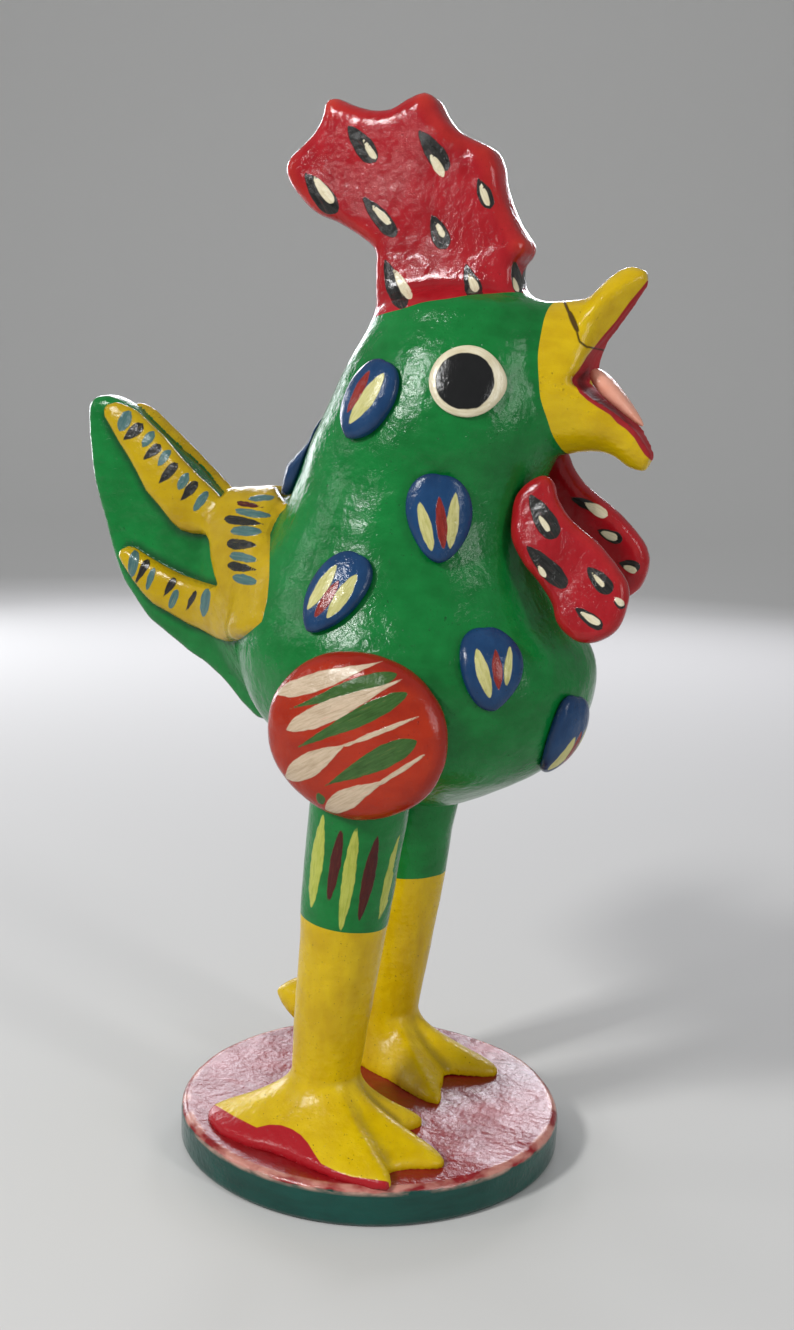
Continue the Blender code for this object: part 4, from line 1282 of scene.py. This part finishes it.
def feather_shape(seed):
    """A hand-made oval, fuller at its top and a little different for each feather."""
    def grow(turn):
        full = FEATHER_TOP * math.sin(turn) * abs(math.cos(turn))
        return 1.0 + full + sum(depth * math.sin(waves * turn + start * seed)
                                for depth, waves, start in FEATHER_WOBBLES)
    return grow


def hanging_swell(height):
    """The back feather is thin at its top and bulges at its foot."""
    thin, start, span = BACK_FEATHER_SWELL
    return thin + (1.0 - thin) * min(1.0, max(0.0, (start - height) / span))


def make_feather(tree, name, place, halves, seed, material):
    swell = hanging_swell if name == "back" else None
    (points, corners), flats = pressed_form(tree, place, halves, feather_shape(seed), swell)
    points = dented(points, corners, depth_share=0.6)
    spots, yellow, red = near_pixels(points), FEATHER_YELLOW, FEATHER_RED
    if name == "front":
        spots, yellow, red = flats * FRONT_FACE, FRONT_YELLOW, FRONT_RED
    elif name == "back":
        yellow, red = (), ()
    marks = mark_fields(spots, yellow_stroke=(yellow, LEAF), red_stroke=(red, LEAF))
    lump_piece("feather_pad_" + name, (points, corners), material, ("feather_" + name,), marks)


def make_feathers(tree):
    material = feather_finish()
    seed = 0.0
    for side, side_name in SIDES:
        for name, x, height, lean, half_width, half_height in SIDE_FEATHERS:
            seed += FEATHER_SEED
            place = spot_frame(*side_spot(tree, side, (x, height)), -side * lean)
            halves = (half_width, half_height, FEATHER_THICKNESS)
            make_feather(tree, side_name + "_" + name, place, halves, seed, material)
    for name, spot, thickness in (("front", FRONT_FEATHER, FEATHER_THICKNESS),
                                  ("back", BACK_FEATHER, BACK_FEATHER_THICKNESS)):
        seed += FEATHER_SEED
        place = spot_frame(*round_spot(tree, spot), spot[2])
        make_feather(tree, name, place, (*spot[3:], thickness), seed, material)


def make_eyes(tree):
    """Round pads that come to a slight point ahead, with a ring painted round each."""
    material = eye_finish()
    for side, side_name in SIDES:
        def almond(turn, side=side):
            ahead = turn if side < 0 else math.pi - turn
            away = (ahead + math.pi) % (2 * math.pi) - math.pi
            return 1.0 + EYE_POINT[0] * math.exp(-(away / EYE_POINT[1]) ** 2)

        place = spot_frame(*side_spot(tree, side, EYE_SPOT), 0.0)
        form, flats = pressed_form(tree, place, EYE_HALVES, almond)
        radius = np.hypot(*flats.T)
        turn = np.arctan2(flats[:, 1], flats[:, 0] * -side)
        inner = EYE_RING[0] - EYE_RING[1] * np.cos(turn - EYE_RING[2])
        marks = {"ring": (radius - inner) * EYE_BRUSH,
                 "brush": np.stack([turn * EYE_BRUSH_ROUND, radius * EYE_BRUSH, turn * 0], 1)}
        lump_piece(side_name + "_eye_pad", form, material, (side_name + "_eye",), marks)


def make_wings(tree):
    material = wing_finish()
    for side, side_name in SIDES:
        point, _ = side_spot(tree, side, WING_SPOT)
        place = Matrix.Translation(point + Vector((0, side * WING_STAND_OFF, 0)))
        form = formed([moved(pebble(WING_HALVES), place)], PAD_GRAIN, rounds=4, depth_share=1.2)
        marks = mark_fields(near_pixels(form[0]), green_stroke=(WING_GREEN, WING_TEARDROP),
                            cream_stroke=(WING_CREAM, WING_TEARDROP), cream_tail=(WING_TAILS, ROUND_DAB))
        x, _, z = form[0].T
        flat = np.hypot((x - point.x) / WING_HALVES[0], (z - point.z) / WING_HALVES[1])
        marks["rim"] = (flat - WING_RIM) * WING_BRUSH
        lump_piece(side_name + "_wing_pad", form, material, (side_name + "_wing",), marks)


def make_wattles():
    """Both wattles are seen from the right: one shows its outer face and the other its inner one."""
    root = np.array(WATTLE_OUTLINE[0])
    line = smooth_line(np.array(WATTLE_OUTLINE) - root, spans=6, closed=True)
    flat = slab(line, lambda z: np.full(len(z), WATTLE_HALF), WATTLE_EDGE)
    shift = np.subtract(LEFT_WATTLE_SPOT, RIGHT_WATTLE_SPOT) * (1, 0, 1)
    material = comb_finish("wattle_enamel")
    for (side, side_name), (ahead, aside, lift) in zip(SIDES, (RIGHT_WATTLE_SPOT, LEFT_WATTLE_SPOT)):
        spot = Matrix.Translation((root[0] + ahead, aside, BELLY + root[1] + lift))
        place = spot @ Matrix.Rotation(math.radians(side * WATTLE_SPLAY), 4, "X")
        points, corners = formed([moved(flat, place)], PAD_GRAIN, rounds=5, depth_share=1.0)
        outer = facing(points, corners)[:, 1] * side > 0
        near = near_pixels(points - shift * (side > 0))
        far = in_photo(points if side > 0 else points * (1, -1, 1) + shift)
        outside, inside = (
            mark_fields(spots, dark_seed=(seeds, TEARDROP), pale_drop=(drops, TEARDROP))
            for spots, seeds, drops in ((near, NEAR_WATTLE_SEEDS, NEAR_WATTLE_DROPS),
                                        (far, FAR_WATTLE_SEEDS, FAR_WATTLE_DROPS)))
        marks = {key: np.where(outer if values.ndim == 1 else outer[:, None], values, inside[key])
                 for key, values in outside.items()}
        lump_piece(side_name + "_wattle_lobe", (points, corners), material,
                   (side_name + "_wattle",), marks)


def make_tongue():
    place = Matrix.Translation((TONGUE_CENTRE[0], 0, BELLY + TONGUE_CENTRE[1]))
    place = place @ Matrix.Rotation(math.radians(TONGUE_DROOP), 4, "Y")
    points, corners = pebble(TONGUE_HALVES, fullness=0.3, rings=20, sides=48)
    points[:, 1:] *= 1.0 - TONGUE_TAPER * points[:, :1] / TONGUE_HALVES[0]
    points, corners = moved((points, corners), place @ Matrix.Rotation(math.pi / 2, 4, "X"))
    form = (dented(points, corners, depth_share=0.5), corners)
    lump_piece("tongue_lobe", form, tongue_finish(), ("tongue",), {})


def make_plinth():
    """A hand-cut disc, a little out of round, with dents that fade towards its flat underside."""
    shoulder = PLINTH_TOP - PLINTH_EDGE
    cut = 0.3 * PLINTH_LOWER_EDGE
    profile = [(PLINTH_MIDDLE, 0.0), (PLINTH_RADIUS - PLINTH_LOWER_EDGE, 0.0), (PLINTH_RADIUS - cut, cut)]
    profile += [(PLINTH_RADIUS, z) for z in np.linspace(PLINTH_LOWER_EDGE, shoulder, 8)]
    for turn in np.linspace(0, math.pi / 2, 7)[1:]:
        profile.append((PLINTH_RADIUS - PLINTH_EDGE * (1 - math.cos(turn)),
                        shoulder + PLINTH_EDGE * math.sin(turn)))
    flat = np.linspace(PLINTH_RADIUS - PLINTH_EDGE, PLINTH_MIDDLE, 50)[1:]
    profile += [(r, PLINTH_TOP) for r in flat]
    turn = once_round(PLINTH_SIDES)
    wobble = 1.0 + sum(depth * np.sin(waves * turn + start) for depth, waves, start in PLINTH_WOBBLES)
    points, corners = lofted([level_ring((0.0, 0.0), r * wobble, r * wobble, z, turn) for r, z in profile])
    inner = np.clip(points[:, 2:3] / PLINTH_TOP, 0, 1)
    points = points + (dented(points, corners, depth_share=0.8) - points) * inner
    radius = np.hypot(points[:, 0], points[:, 1])
    away = np.hypot(radius - PLINTH_RADIUS + PLINTH_RIM_IN, points[:, 2] - PLINTH_TOP + PLINTH_RIM_DOWN)
    lump_piece("plinth_disc", (points, corners), plinth_finish(), ("base_disc",),
               {"edge": PLINTH_RIM_REACH - away})


# Studio

def make_backdrop():
    """A pale floor that curves up behind the object."""
    profile = [(FLOOR_FRONT, 0.0), (FLOOR_BACK, 0.0)]
    for turn in np.linspace(0, math.pi / 2, 12)[1:]:
        profile.append((FLOOR_BACK + FLOOR_CURVE * math.sin(turn), FLOOR_CURVE * (1 - math.cos(turn))))
    profile.append((FLOOR_BACK + FLOOR_CURVE, BACKDROP_TOP))
    turn = Matrix.Rotation(math.radians(CAMERA_TURN), 3, "Z")
    edges = (-BACKDROP_HALF, BACKDROP_HALF)
    points = [turn @ Vector((x, y, z - FLOOR_GAP)) * MM for y, z in profile for x in edges]
    faces = [(k, k + 1, k + 3, k + 2) for k in range(0, len(points) - 2, 2)]
    mesh = bpy.data.meshes.new("backdrop")
    mesh.from_pydata(points, [], faces)
    mesh.shade_smooth()
    mesh.materials.append(Finish("backdrop_paper").shaded({"Base Color": FLOOR_GREY, "Roughness": 0.9}))
    item = bpy.data.objects.new("backdrop", mesh)
    bpy.context.scene.collection.objects.link(item)


def lamp(name, power, size, place, colour):
    data = bpy.data.lights.new(name, "AREA")
    data.shape = "RECTANGLE"
    data.size, data.size_y = (s * MM for s in size)
    data.energy = power
    data.color = colour
    item = bpy.data.objects.new(name, data)
    item.location = Vector(place) * MM
    item.rotation_euler = (Vector(LAMP_AIM) - Vector(place)).to_track_quat("-Z", "Y").to_euler()
    item.visible_camera = False
    bpy.context.scene.collection.objects.link(item)


def make_light():
    world = bpy.data.worlds.new("room")
    world.use_nodes = True
    background = world.node_tree.nodes["Background"]
    background.inputs["Color"].default_value = ROOM_LIGHT
    background.inputs["Strength"].default_value = ROOM_STRENGTH
    bpy.context.scene.world = world
    for row in LAMPS:
        lamp(*row)


skin_tree = make_skin()
for make_pads in (make_feathers, make_eyes, make_wings):
    make_pads(skin_tree)
for make_rest in (make_wattles, make_tongue, make_plinth, make_backdrop, make_light):
    make_rest()
bpy.context.scene.view_settings.view_transform = "Standard"
